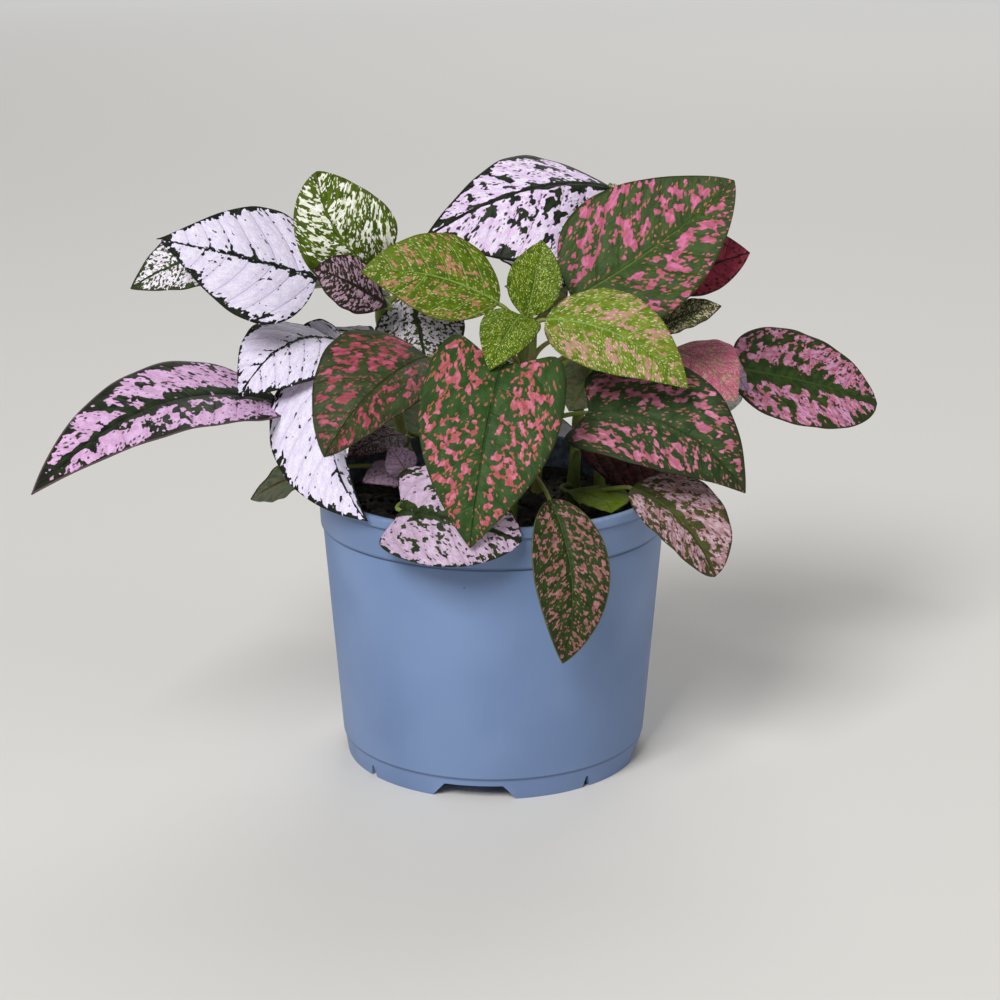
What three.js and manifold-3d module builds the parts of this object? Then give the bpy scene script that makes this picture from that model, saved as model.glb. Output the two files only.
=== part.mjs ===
// A polka dot plant (Hypoestes phyllostachya) in a 12 cm nursery pot, in millimetres.
// +Z is up, -Y is the front, and the pot stands on z = 0 with its axis on x = y = 0.
// The pot is one moulding, the soil fills it, and eight seedlings of mixed colours grow from the
// soil: each leafy stem is one body, with its petioles and blades joined to it.
import * as THREE from 'three';
import { mergeVertices } from 'three/addons/utils/BufferGeometryUtils.js';
import Module from 'manifold-3d';

const wasm = await Module();
wasm.setup();

// ---- driving dimensions -----------------------------------------------------------------------

const POT = {
  height: 96,
  rim: 60, // outer radius of the lip
  lipWidth: 2.6, // from the lip's outside to the mouth
  lip: 3.7, // height of the lip
  neck: 58.9, // outer radius just under the lip
  bandFoot: 82, // the plain band under the lip ends here
  bandRadius: 58.5,
  body: 57.7, // outer radius just under the band
  ankle: 52.1, // outer radius just above the foot
  footTop: 7.3,
  foot: 50.6, // outer radius at the very bottom
  footRing: 1.7, // the foot ring's width there
  wall: 1.3,
  groove: 0.4, // depth of the lines round the wall
  edge: 0.5, // bevels of the lip
  floorUnder: 5.5, // the floor is raised inside the foot ring
  floorTop: 6.8,
  sides: 48,
};
// Cuts through the foot ring, from a radius inside it to one outside it.
const CUT = { from: 44.6, to: 53.6, below: 1 };
const NOTCH = { count: 4, turn: -7.2, wide: 28, narrow: 19.4, tall: 5 };
const SLOT = { count: 4, turn: 37.8, wide: 3.2, narrow: 1, tall: 4 };
const DRAIN = { count: 6, ring: 33, radius: 3.5, sides: 12 };

// The soil's top has lumps and crumbs of these lengths, and drops by its shoulder at the wall.
const SOIL = { top: 84.5, shoulder: 3, relief: 0.9, lump: 4.6, crumb: 2.6, rings: 5, sides: 24 };
const HOLE = { sides: 12 };
const GAP = 0.3; // between pieces that touch

// A stem is upright from its root end, down in the soil, to where it is clear of the soil.
const STEM = { root: 60, clear: 86, upright: 94, foot: 2.3, tip: 1.5, sides: 6, steps: 7 };
// A petiole leaves the stem along it, for this share of its reach, and runs on under the blade.
const PETIOLE = { root: 1.2, blade: 0.7, sides: 4, steps: 3, lift: 0.35, under: 0.1 };
const BLADE = { thick: 0.7, rows: 7, columns: 4, belly: 0.42, point: 0.95, edge: 0.45 };
const WAVE = { height: 0.5, turns: 9, apart: 1.3 }; // the margins' ripple
const LOBE = { at: 0.1, curl: 0.9 }; // how far along a heart-shaped base reaches back the most
const SMOOTHING = 0.036; // triangles that stray less than this from flat are merged

// ---- the plants -------------------------------------------------------------------------------
// A stem has a foot [x, y], where it stands in its hole, and the points that it bends through
// above the soil. A leaf row gives how far up the stem its petiole leaves (0 at the soil, 1 at
// the tip), where the blade begins and where its tip is, its width, and the way its upper face
// looks: degrees round from the front towards +X, and degrees up. After that:
//   arch   how far the midrib bows towards the upper face      sweep  and to its right
//   fold   how far the halves rise from the midrib, in degrees [left, right]
//   belly  where the blade is widest, from base to tip         point  how sharp the tip is
//   lobe   how far the halves reach back past the petiole      lean   how much wider the right is
//   lift   see PETIOLE

function leaf(where, base, tip, wide, face, form = {}) {
  return { where, base, tip, wide, face, ...form };
}

const PLANTS = {
  leafy_stem_red_front: {
    colour: 0x5c6b3c,
    foot: [6, -15],
    line: [[9, -18, 122], [10, -20, 152]],
    leaves: [
      // the lime new growth at the top
      leaf(0.97, [11, -19, 155], [16, -13, 179], 18, [5, 25], { arch: 2, fold: [12, 12], belly: 0.45 }),
      leaf(0.97, [9, -25, 157], [-1, -47, 144], 19, [-10, 30], { arch: 3, fold: [8, 8], belly: 0.35 }),
      leaf(0.88, [2, -21, 160], [-42, -25, 171], 30, [-8, 38], { arch: 3, sweep: 3, fold: [5, 5] }),
      leaf(0.88, [17, -22, 155], [62, -38, 136], 30, [5, 38], { arch: 7, sweep: -3, belly: 0.37 }),
      // the big heart-shaped leaf that hangs to the front, and the pair under it
      leaf(0.66, [3, -43, 145], [-7, -70, 93], 45, [7, 12],
        { arch: 6, sweep: 2, fold: [8, -4], lobe: 12, belly: 0.31, point: 0.97 }),
      leaf(0.5, [-21, -24, 143], [-53, -51, 117], 40, [-34, 31],
        { arch: 8, sweep: -1, fold: [5, 18], belly: 0.37, point: 0.84, lean: 0.1 }),
      leaf(0.35, [31, -25, 125], [81, -40, 102], 44, [5, 50],
        { arch: 9, sweep: -4, fold: [8, 8], lobe: 9, belly: 0.34 }),
      // hangs over the rim, clear of the pot
      leaf(0.08, [18, -54, 104], [22, -70, 55], 25, [8, 15],
        { arch: 6, sweep: -4, fold: [4, 14], point: 0.85, lean: 0.02 }),
      leaf(0.2, [-4, -2, 126], [-22, 16, 118], 26, [-100, 60], { arch: 4 }),
      leaf(0.6, [34, -8, 140], [25, -16, 123], 17, [170, -20], { arch: 3 }),
    ],
  },
  leafy_stem_white_left: {
    colour: 0xc9bcd6,
    foot: [-27, -5],
    line: [[-33, -3, 125], [-39, -2, 166]],
    leaves: [
      leaf(0.97, [-41, -9, 170], [-57, -4, 200], 35, [4, 22],
        { arch: 5, sweep: -4, fold: [10, 34], belly: 0.32, point: 0.8, lean: 0.17 }),
      leaf(0.93, [-58, 2, 164], [-109, -10, 179], 41, [-10, 35],
        { arch: 2, belly: 0.34, point: 1.2, lean: -0.05 }),
      leaf(0.82, [-82, 18, 172], [-121, 8, 159], 25, [-20, 45], { arch: 4, belly: 0.45 }),
      leaf(0.88, [-34, -17, 158], [-57, -25, 172], 22, [-20, 50], { arch: 2, belly: 0.55 }),
      leaf(0.8, [-27, 0, 160], [-21, -14, 134], 30, [0, 25], { arch: 3, belly: 0.5 }),
      // the long one that reaches furthest left
      leaf(0.4, [-71, 5, 120], [-142, -69, 110], 36, [-15, 45],
        { arch: 13, sweep: 6, fold: [6, 6], belly: 0.34, lean: -0.04 }),
      leaf(0.62, [-53, 14, 140], [-84, -9, 126], 35, [-30, 40], { arch: 10, belly: 0.5, lean: -0.12 }),
      leaf(0.55, [-52, -12, 140], [-40, -48, 95], 44, [-35, 11],
        { arch: 3, sweep: 6, fold: [36, 8], belly: 0.29, point: 1.05, lean: 0.1 }),
      leaf(0.08, [-57, -8, 101], [-80, -20, 94], 26, [-130, 40], { arch: 2, belly: 0.5 }),
      leaf(0.25, [-29, -14, 114], [-47, -30, 111], 16, [-20, 50], { arch: 3, belly: 0.45 }),
      leaf(0.45, [-44, 26, 140], [-70, 46, 128], 30, [-140, 50], { arch: 5 }),
      leaf(0.5, [-48, 17, 135], [-71, 13, 137], 21, [-15, 35], { arch: 3, belly: 0.5 }),
    ],
  },
  leafy_stem_white_low: {
    colour: 0xb7a6c2,
    foot: [-12, -31],
    line: [[-17, -33, 101], [-21, -35, 108]],
    leaves: [
      leaf(0.4, [-29, -52, 100], [9, -63, 93], 33, [0, 30], { arch: 7, lobe: 9, belly: 0.38, point: 0.7 }),
      leaf(0.8, [-29, -30, 104], [-42, -38, 105], 12, [-20, 50], { arch: 3, belly: 0.45 }),
      leaf(0.98, [-27, -36, 107], [-33, -37, 117], 11, [-20, 40], { arch: 2, belly: 0.45 }),
    ],
  },
  leafy_stem_white_back: {
    colour: 0xd6c6e2,
    foot: [15, 19],
    line: [[26, 25, 135], [39, 32, 184]],
    leaves: [
      leaf(0.97, [40, 34, 189], [-23, 13, 175], 48, [-10, 35],
        { arch: 14, fold: [-12, -26], belly: 0.42, lean: -0.15 }),
      leaf(0.9, [46, 37, 182], [80, 60, 166], 36, [130, 45], { arch: 4 }),
      leaf(0.75, [38, 38, 170], [38, 69, 142], 38, [180, 40], { arch: 6 }),
      leaf(0.99, [41, 35, 186], [50, 46, 186], 13, [120, 60], { arch: 1, belly: 0.45 }),
      leaf(0.55, [20, 36, 152], [0, 62, 160], 30, [-160, 55], { arch: 5 }),
      leaf(0.3, [6, 32, 128], [-20, 46, 118], 28, [-160, 55], { arch: 5 }),
    ],
  },
  leafy_stem_red_right: {
    colour: 0x7d4350,
    foot: [27, -3],
    line: [[29, 0, 125], [29, 1, 152]],
    leaves: [
      leaf(0.97, [26, -5, 158], [79, 3, 196], 49, [6, 34],
        { arch: -1, sweep: 2, fold: [0, 10], belly: 0.34, point: 0.8, lean: -0.08 }),
      leaf(0.88, [54, 12, 158], [86, 14, 170], 24, [50, 35], { arch: 3, belly: 0.5, lean: -0.25 }),
      leaf(0.75, [52, -2, 146], [75, -6, 156], 14, [0, 60], { arch: 2, belly: 0.5 }),
      leaf(0.15, [29, -5, 107], [62, -12, 98], 26, [5, 60], { arch: 3, belly: 0.5 }),
      leaf(0.08, [24, -17, 96], [38, -42, 96], 17, [0, 75],
        { arch: 0, sweep: -4, belly: 0.5, point: 1.1, lean: -0.2 }),
      leaf(0.02, [45, -34, 102], [71, -50, 77], 29, [31, 26],
        { arch: 5, sweep: -2, fold: [6, 15], belly: 0.46, point: 0.65, lean: -0.1, lift: 0.08 }),
      leaf(0.45, [36, 7, 134], [52, 20, 140], 20, [140, 60], { arch: 3 }),
    ],
  },
  leafy_stem_pink_right: {
    colour: 0xc46f93,
    foot: [37, 14],
    line: [[56, 22, 113], [78, 31, 122]],
    leaves: [
      leaf(0.97, [84, 37, 125], [139, 62, 106], 38, [8, 40],
        { arch: 3, lobe: 2, belly: 0.42, point: 0.62, lean: -0.05 }),
      leaf(0.8, [60, 20, 135], [82, 6, 121], 26, [10, 50], { arch: 6, belly: 0.5 }),
      leaf(0.6, [62, 34, 120], [84, 68, 100], 32, [140, 45], { arch: 6 }),
      leaf(0.25, [50, 26, 106], [64, 57, 80], 26, [140, 40], { arch: 7 }),
      leaf(0.9, [75, 24, 134], [88, 28, 119], 9, [30, 20], { arch: 2 }),
    ],
  },
  leafy_stem_red_back: {
    colour: 0x6b4a42,
    foot: [-18, 25],
    line: [[-24, 31, 125], [-29, 35, 156]],
    leaves: [
      leaf(0.98, [-30, 36, 158], [-40, 30, 172], 14, [-40, 40], { arch: 1, fold: [10, 10], belly: 0.45 }),
      leaf(0.98, [-28, 38, 158], [-22, 50, 170], 15, [150, 40], { arch: 1, fold: [10, 10], belly: 0.45 }),
      leaf(0.8, [-37, 40, 150], [-78, 56, 146], 34, [-130, 50], { arch: 5, belly: 0.4 }),
      leaf(0.45, [-40, 28, 128], [-82, 36, 114], 30, [-100, 50], { arch: 5, belly: 0.4 }),
      leaf(0.35, [-26, 46, 122], [-36, 69, 84], 32, [-160, 30], { arch: 5, belly: 0.4 }),
      leaf(0.1, [-36, 12, 110], [-56, 0, 104], 24, [-70, 60], { arch: 4 }),
    ],
  },
  leafy_stem_pink_back: {
    colour: 0xc58ba6,
    foot: [11, 41],
    line: [[13, 45, 115], [14, 47, 140]],
    leaves: [
      leaf(0.98, [13, 49, 141], [4, 58, 150], 15, [-150, 50], { arch: 1, fold: [10, 10], belly: 0.45 }),
      leaf(0.98, [16, 48, 141], [26, 50, 152], 15, [120, 50], { arch: 1, fold: [10, 10], belly: 0.45 }),
      leaf(0.7, [22, 52, 132], [58, 68, 120], 32, [150, 50], { arch: 5, belly: 0.4 }),
      leaf(0.55, [4, 52, 126], [-10, 70, 104], 30, [-170, 40], { arch: 5 }),
      leaf(0.12, [16, 54, 106], [20, 68, 58], 27, [175, 15], { arch: 7 }),
    ],
  },
};

// ---- from a geometry to a solid and back ------------------------------------------------------

function solid(geometry) {
  geometry.deleteAttribute('normal');
  geometry.deleteAttribute('uv');
  const merged = mergeVertices(geometry, 1e-4);
  const corners = merged.index.array;
  const triangles = [];
  for (let i = 0; i < corners.length; i += 3) {
    const [a, b, c] = corners.slice(i, i + 3);
    if (a !== b && b !== c && c !== a) triangles.push(a, b, c);
  }
  const mesh = new wasm.Mesh({
    numProp: 3,
    vertProperties: new Float32Array(merged.attributes.position.array),
    triVerts: new Uint32Array(triangles),
  });
  return new wasm.Manifold(mesh);
}

function part(name, body, colour, roughness) {
  const { vertProperties, triVerts } = body.getMesh();
  const geometry = new THREE.BufferGeometry();
  geometry.setAttribute('position', new THREE.BufferAttribute(new Float32Array(vertProperties), 3));
  geometry.setIndex(new THREE.BufferAttribute(new Uint32Array(triVerts), 1));
  geometry.computeVertexNormals();
  const mesh = new THREE.Mesh(
    geometry,
    new THREE.MeshStandardMaterial({ color: colour, roughness, metalness: 0 }),
  );
  mesh.name = name;
  return mesh;
}

// A profile of [radius, height] points, turned round the z axis.
function turned(profile, sides) {
  const points = profile.map(([radius, height]) => new THREE.Vector2(radius, height));
  return new THREE.LatheGeometry(points, sides).rotateX(Math.PI / 2);
}

// A closed skin over rings of points that all have the same number of corners.
function skinOver(rings) {
  const count = rings[0].length;
  const positions = rings.flat().flatMap((p) => [p.x, p.y, p.z]);
  const index = [];
  for (let r = 0; r + 1 < rings.length; r += 1) {
    for (let k = 0; k < count; k += 1) {
      const a = r * count + k;
      const b = r * count + ((k + 1) % count);
      index.push(a, b, b + count, a, b + count, a + count);
    }
  }
  const last = (rings.length - 1) * count;
  for (let k = 1; k + 1 < count; k += 1) {
    index.push(0, k + 1, k, last, last + k, last + k + 1);
  }
  const geometry = new THREE.BufferGeometry();
  geometry.setAttribute('position', new THREE.Float32BufferAttribute(positions, 3));
  geometry.setIndex(index);
  return geometry;
}

// ---- the pot ----------------------------------------------------------------------------------

// A wedge that tapers from wide at its foot to narrow at its top, through the foot ring.
function footCut({ wide, narrow, tall }, degrees) {
  const flare = ((wide - narrow) / tall) * CUT.below;
  const shape = new THREE.Shape([
    new THREE.Vector2(-(wide + flare) / 2, -CUT.below),
    new THREE.Vector2((wide + flare) / 2, -CUT.below),
    new THREE.Vector2(narrow / 2, tall),
    new THREE.Vector2(-narrow / 2, tall),
  ]);
  return new THREE.ExtrudeGeometry(shape, { depth: CUT.to - CUT.from, bevelEnabled: false })
    .rotateX(Math.PI / 2)
    .translate(0, -CUT.from, 0)
    .rotateZ(THREE.MathUtils.degToRad(degrees));
}

function pot() {
  const { rim, height, lip, edge, groove, wall, body, ankle, foot, footTop, bandFoot } = POT;
  const mouth = rim - POT.lipWidth;
  const outside = [
    [foot, 0],
    [ankle - groove, footTop],
    [ankle, footTop + groove],
    [body, bandFoot - 2 * groove],
    [body - groove, bandFoot - groove],
    [POT.bandRadius, bandFoot],
    [POT.neck, height - lip - groove],
    [rim - edge, height - lip],
    [rim, height - lip + edge],
    [rim, height - edge],
    [rim - edge, height],
  ];
  const inside = [
    [mouth + edge, height],
    [mouth, height - edge],
    [POT.bandRadius - wall, bandFoot],
    [ankle - wall, footTop],
    [ankle - wall - edge, POT.floorTop],
  ];
  const under = [
    [foot - POT.footRing - edge, POT.floorUnder],
    [foot - POT.footRing, 0],
  ];
  const profile = [[0, POT.floorUnder], ...under, ...outside, ...inside, [0, POT.floorTop]];
  let shell = solid(turned(profile, POT.sides));
  for (const cut of [NOTCH, SLOT]) {
    for (let k = 0; k < cut.count; k += 1) {
      shell = shell.subtract(solid(footCut(cut, cut.turn + (360 / cut.count) * k)));
    }
  }
  for (let k = 0; k < DRAIN.count; k += 1) {
    const angle = (2 * Math.PI * k) / DRAIN.count;
    const hole = new THREE.CylinderGeometry(DRAIN.radius, DRAIN.radius, 6, DRAIN.sides)
      .rotateX(Math.PI / 2)
      .translate(DRAIN.ring * Math.cos(angle), DRAIN.ring * Math.sin(angle), POT.floorTop);
    shell = shell.subtract(solid(hole));
  }
  return part('pot', shell, 0x7c94b9, 0.6);
}

// ---- the soil ---------------------------------------------------------------------------------

// The inside wall's radius at a height, between the floor and the band.
function innerRadius(z) {
  const low = POT.ankle - POT.wall;
  const high = POT.bandRadius - POT.wall;
  return low + ((high - low) * (z - POT.footTop)) / (POT.bandFoot - POT.footTop);
}

// The crumbly top: crossing waves.
function soilTop(x, y) {
  const lumps = Math.sin(x / SOIL.lump + 1) * Math.cos(y / SOIL.lump);
  const crumbs = Math.sin((y - x) / SOIL.crumb) / 2;
  return SOIL.top + SOIL.relief * (lumps + crumbs);
}

function soil() {
  const bottom = POT.floorTop + GAP;
  const shoulder = SOIL.top - SOIL.shoulder;
  const footRadius = POT.ankle - POT.wall - POT.edge - GAP;
  const topRadius = innerRadius(shoulder) - GAP;
  const rings = [];
  for (let r = 1; r <= SOIL.rings; r += 1) {
    rings.push([topRadius * (1 - (r - 0.5) / SOIL.rings), SOIL.top]);
  }
  const profile = [[0, bottom], [footRadius, bottom], [topRadius, shoulder], ...rings, [0, SOIL.top]];
  const shape = turned(profile, SOIL.sides);
  const place = shape.attributes.position;
  for (let i = 0; i < place.count; i += 1) {
    if (place.getZ(i) > shoulder + 1) place.setZ(i, soilTop(place.getX(i), place.getY(i)));
  }
  let bed = solid(shape);
  const bottomOfHole = STEM.root - GAP;
  const depth = STEM.upright - bottomOfHole;
  const radius = STEM.foot + GAP;
  for (const { foot } of Object.values(PLANTS)) {
    const hole = new THREE.CylinderGeometry(radius, radius, depth, HOLE.sides)
      .rotateX(Math.PI / 2)
      .translate(foot[0], foot[1], bottomOfHole + depth / 2);
    bed = bed.subtract(solid(hole));
  }
  return part('soil', bed, 0x1c1714, 0.95);
}

// ---- stems, petioles and blades ---------------------------------------------------------------

const vector = (p) => new THREE.Vector3(...p);

// A tube of the given radius at each step along a curve, closed at both ends.
function tube(curve, steps, sides, radiusAt) {
  const { normals, binormals } = curve.computeFrenetFrames(steps, false);
  const rings = [];
  for (let i = 0; i <= steps; i += 1) {
    const centre = curve.getPointAt(i / steps);
    const radius = radiusAt(i / steps);
    const ring = [];
    for (let k = 0; k < sides; k += 1) {
      const angle = (2 * Math.PI * k) / sides;
      const out = normals[i].clone().multiplyScalar(Math.cos(angle) * radius);
      ring.push(out.addScaledVector(binormals[i], Math.sin(angle) * radius).add(centre));
    }
    rings.push(ring);
  }
  return skinOver(rings);
}

// The upright stretch in the soil, then the bend above it.
function stemCurve({ foot, line }) {
  const upright = [STEM.root, STEM.clear, STEM.upright].map((z) => [...foot, z]);
  return new THREE.CatmullRomCurve3([...upright, ...line].map(vector), false, 'centripetal');
}

// Everything about one blade that does not change from point to point.
function bladeFrame(row) {
  const base = vector(row.base);
  const chord = vector(row.tip).sub(base);
  const along = chord.clone().normalize();
  const [round, high] = row.face.map(THREE.MathUtils.degToRad);
  const looks = new THREE.Vector3(
    Math.sin(round) * Math.cos(high),
    -Math.cos(round) * Math.cos(high),
    Math.sin(high),
  );
  const normal = looks.addScaledVector(along, -looks.dot(along)).normalize();
  const right = along.clone().cross(normal);
  const bow = normal.clone().multiplyScalar(row.arch ?? 0).addScaledVector(right, row.sweep ?? 0);
  const belly = row.belly ?? BLADE.belly;
  const point = row.point ?? BLADE.point;
  const blunt = (point * belly) / (1 - belly);
  const outline = (t) => t ** blunt * (1 - t) ** point;
  return {
    base, chord, bow, right,
    half: (t) => ((row.wide / 2) * outline(t)) / outline(belly),
    fold: (row.fold ?? [0, 0]).map(THREE.MathUtils.degToRad),
    lean: row.lean ?? 0,
    lobe: row.lobe ?? 0,
    phase: row.base[0] + row.tip[1],
  };
}

// The midrib's point, and its own axes there: along, right and up out of the upper face.
function midrib(frame, t) {
  const point = frame.base.clone().addScaledVector(frame.chord, t);
  point.addScaledVector(frame.bow, 4 * t * (1 - t));
  const along = frame.chord.clone().addScaledVector(frame.bow, 4 * (1 - 2 * t)).normalize();
  const right = frame.right.clone().addScaledVector(along, -frame.right.dot(along)).normalize();
  return { point, along, right, up: right.clone().cross(along) };
}

// A point in the middle of the blade's thickness, t from base to tip and u from -1 to 1 across.
function bladePoint(frame, wide, t, u) {
  const { point, along, right, up } = midrib(frame, t);
  const half = Math.max(frame.half(t), BLADE.edge * (1 - 0.6 * t));
  const full = (2 * half) / wide;
  const reach = half * u * (1 + (Math.sign(u) * frame.lean));
  const fold = frame.fold[u < 0 ? 0 : 1];
  const ripple = Math.sin(WAVE.turns * t + WAVE.apart * Math.sign(u) + frame.phase);
  const wave = WAVE.height * ripple * u * u * full;
  const near = t / LOBE.at;
  const back = frame.lobe * near * Math.exp(1 - near) * Math.abs(u) ** LOBE.curl;
  return point
    .addScaledVector(right, reach * Math.cos(fold))
    .addScaledVector(up, Math.abs(reach) * Math.sin(fold) + wave)
    .addScaledVector(along, -back);
}

// The blade as a closed plate: an upper and an under side that split into triangles alike.
function blade(row) {
  const frame = bladeFrame(row);
  const at = (t, u) => bladePoint(frame, row.wide, t, u);
  const rows = [];
  for (let i = 0; i <= BLADE.rows; i += 1) {
    const t = (1 - Math.cos((Math.PI * i) / BLADE.rows)) / 2;
    const upper = [];
    const under = [];
    for (let k = 0; k <= BLADE.columns; k += 1) {
      const u = (2 * k) / BLADE.columns - 1;
      const nearT = Math.min(Math.max(t, 0.02), 0.98);
      const alongStep = at(nearT + 0.01, u).sub(at(nearT - 0.01, u));
      const acrossStep = at(nearT, u + 0.05).sub(at(nearT, u - 0.05));
      const out = acrossStep.cross(alongStep).normalize().multiplyScalar(BLADE.thick / 2);
      upper.push(at(t, u).add(out));
      under.unshift(at(t, u).sub(out));
    }
    rows.push([...upper, ...under]);
  }
  return skinOver(rows);
}

function petiole(row, stem) {
  const frame = bladeFrame(row);
  const inSoil = (STEM.clear - STEM.root) / stem.getLength();
  const up = THREE.MathUtils.lerp(inSoil, 1, row.where);
  const root = stem.getPointAt(up);
  const start = midrib(frame, 0);
  const rise = (row.lift ?? PETIOLE.lift) * root.distanceTo(start.point);
  const lift = stem.getTangentAt(up).multiplyScalar(rise);
  const reach = new THREE.CubicBezierCurve3(
    root,
    root.clone().add(lift),
    start.point.clone().addScaledVector(start.along, -rise),
    start.point,
  );
  const points = [];
  for (let i = 0; i <= PETIOLE.steps; i += 1) points.push(reach.getPoint(i / PETIOLE.steps));
  const end = midrib(frame, PETIOLE.under);
  points.push(end.point.addScaledVector(end.up, -BLADE.thick / 3));
  const curve = new THREE.CatmullRomCurve3(points, false, 'centripetal');
  const taper = (s) => THREE.MathUtils.lerp(PETIOLE.root, PETIOLE.blade, s);
  return tube(curve, PETIOLE.steps + 1, PETIOLE.sides, taper);
}

function leafyStem(name, plant) {
  const stem = stemCurve(plant);
  const taper = (s) => THREE.MathUtils.lerp(STEM.foot, STEM.tip, s);
  let body = solid(tube(stem, STEM.steps, STEM.sides, taper));
  for (const row of plant.leaves) {
    body = body.add(solid(petiole(row, stem))).add(solid(blade(row)));
  }
  return part(name, body.simplify(SMOOTHING), plant.colour, 0.5);
}

// ---- the potted plant -------------------------------------------------------------------------

const pottedPlant = new THREE.Group();
pottedPlant.add(pot(), soil());
for (const [name, plant] of Object.entries(PLANTS)) pottedPlant.add(leafyStem(name, plant));

export default pottedPlant;
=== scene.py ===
# %% [markdown]
# # A potted polka dot plant
#
# Eight young seedlings with spotted leaves share one 12 cm nursery pot. The solids that carry the
# sizes are already made, and this lesson dresses them: every piece is put exactly where its solid
# is, with finer shapes and with finishes that are made of nodes alone. The first cell loads those
# solids and prints their names.

import math
from contextlib import contextmanager

import bpy
import numpy as np
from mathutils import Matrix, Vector


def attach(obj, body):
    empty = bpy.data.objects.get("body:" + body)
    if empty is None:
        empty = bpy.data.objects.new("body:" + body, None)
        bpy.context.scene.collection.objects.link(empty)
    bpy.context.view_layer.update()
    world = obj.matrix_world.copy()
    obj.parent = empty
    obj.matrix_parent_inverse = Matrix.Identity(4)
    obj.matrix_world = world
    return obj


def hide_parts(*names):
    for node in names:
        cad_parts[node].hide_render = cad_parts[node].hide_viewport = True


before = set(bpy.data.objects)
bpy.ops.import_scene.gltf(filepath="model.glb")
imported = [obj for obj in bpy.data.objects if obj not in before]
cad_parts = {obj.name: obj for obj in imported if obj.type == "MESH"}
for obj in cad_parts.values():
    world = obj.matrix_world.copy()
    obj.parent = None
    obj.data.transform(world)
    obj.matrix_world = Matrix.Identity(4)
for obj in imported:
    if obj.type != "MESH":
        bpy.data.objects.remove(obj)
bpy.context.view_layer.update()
print("solids:", ", ".join(sorted(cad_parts)))

# %% [markdown]
# ## Working units and small helpers
#
# The plant is drawn in millimetres, as its solids are, and Blender works in metres, so each size is
# multiplied by MM. Operators act on whatever is selected, so one helper clears the selection before
# each new piece, one opens edit mode, and others do the few things that every piece needs.

# %% Units and helpers
MM = 0.001


def select_only(*pieces):
    """Selects these objects alone and makes the first of them active."""
    bpy.ops.object.select_all(action="DESELECT")
    for piece in pieces:
        piece.select_set(True)
    bpy.context.view_layer.objects.active = pieces[0] if pieces else None


def added(name):
    """Names the primitive that an operator has just added, and its mesh or curve."""
    piece = bpy.context.object
    piece.name = name
    piece.data.name = name
    return piece


@contextmanager
def edit_mode():
    """Edits the active piece, with all of it selected at first."""
    bpy.ops.object.mode_set(mode="EDIT")
    bpy.ops.mesh.select_all(action="SELECT")
    yield
    bpy.ops.object.mode_set(mode="OBJECT")


def apply_modifier(piece, kind, **settings):
    """Adds a modifier with these settings and applies it."""
    select_only(piece)
    modifier = piece.modifiers.new(kind.title(), kind)
    for key, value in settings.items():
        setattr(modifier, key, value)
    bpy.ops.object.modifier_apply(modifier=modifier.name)


def settle(piece):
    """Puts the piece's place in its mesh, so that its object sits at the origin, unturned."""
    select_only(piece)
    bpy.ops.object.transform_apply(location=True, rotation=True, scale=True)


def joined(name, pieces):
    select_only(*pieces)
    bpy.ops.object.join()
    return added(name)


def copy_of(master, name):
    """A copy with its own mesh."""
    piece = master.copy()
    piece.data = master.data.copy()
    piece.name = piece.data.name = name
    bpy.context.collection.objects.link(piece)
    return piece


select_only()
print("1 mm is", MM, "m here")

# %% [markdown]
# ## Building finishes from nodes
#
# Every finish here is a small web of nodes. Written out in full each web would be long, so the
# output of a node is wrapped in a Wire: a sum such as `wire * 2 + 1` adds the math nodes that work
# it out. A few helpers add the other kinds of node. A colour is given as it looks on a screen, from
# 0 to 255, and turned into the linear value that shaders use.

# %% Wires
def tint(red, green, blue):
    """A screen colour as the linear colour with alpha that a socket takes."""
    return tuple((value / 255) ** 2.2 for value in (red, green, blue)) + (1,)


class Wire:
    """A node's output, which can be added, subtracted, multiplied and divided."""

    def __init__(self, socket):
        self.socket = socket
        self.tree = socket.id_data

    def __add__(self, other):
        return calc("ADD", self, other)

    def __sub__(self, other):
        return calc("SUBTRACT", self, other)

    def __rsub__(self, other):
        return calc("SUBTRACT", other, self)

    def __mul__(self, other):
        return calc("MULTIPLY", self, other)

    def __truediv__(self, other):
        return calc("DIVIDE", self, other)


def plug(socket, value):
    """Links a wire into the socket, or sets the socket to a plain value."""
    if isinstance(value, Wire):
        value.tree.links.new(value.socket, socket)
    else:
        socket.default_value = value


def add_node(tree, kind, inputs, **settings):
    """Adds a node with these settings, and plugs values into its inputs by their names."""
    made = tree.nodes.new("ShaderNode" + kind)
    for key, value in settings.items():
        setattr(made, key, value)
    for label, value in inputs.items():
        plug(made.inputs[label], value)
    return made


def calc(operation, *values, kind="Math", output=0):
    """A math node on these values, of which one at least is a wire."""
    tree = next(value.tree for value in values if isinstance(value, Wire))
    made = add_node(tree, kind, dict(enumerate(values)), operation=operation)
    return Wire(made.outputs[output])


def vector_calc(operation, *values, output=0):
    return calc(operation, *values, kind="VectorMath", output=output)


print("tint 255, 128, 0:", [round(value, 2) for value in tint(255, 128, 0)])

# %% [markdown]
# The next helpers are the steps that the finishes are made of: a smooth ramp, a mix of two colours,
# noise, and the cells of a Voronoi pattern. *split* and *triple* take a vector apart and make one.

# %% Node helpers
def ramp(value, low, high, bottom=0.0, top=1.0, kind="SMOOTHSTEP"):
    """From bottom, where the value is at low, to top, where it is at high."""
    inputs = {"Value": value, "From Min": low, "From Max": high, "To Min": bottom, "To Max": top}
    return Wire(add_node(value.tree, "MapRange", inputs, interpolation_type=kind).outputs[0])


def blend(factor, first, second):
    """First colour where the factor is 0, second where it is 1."""
    colours = {0: factor, 6: first, 7: second}
    return Wire(add_node(factor.tree, "Mix", colours, data_type="RGBA").outputs[2])


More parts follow.
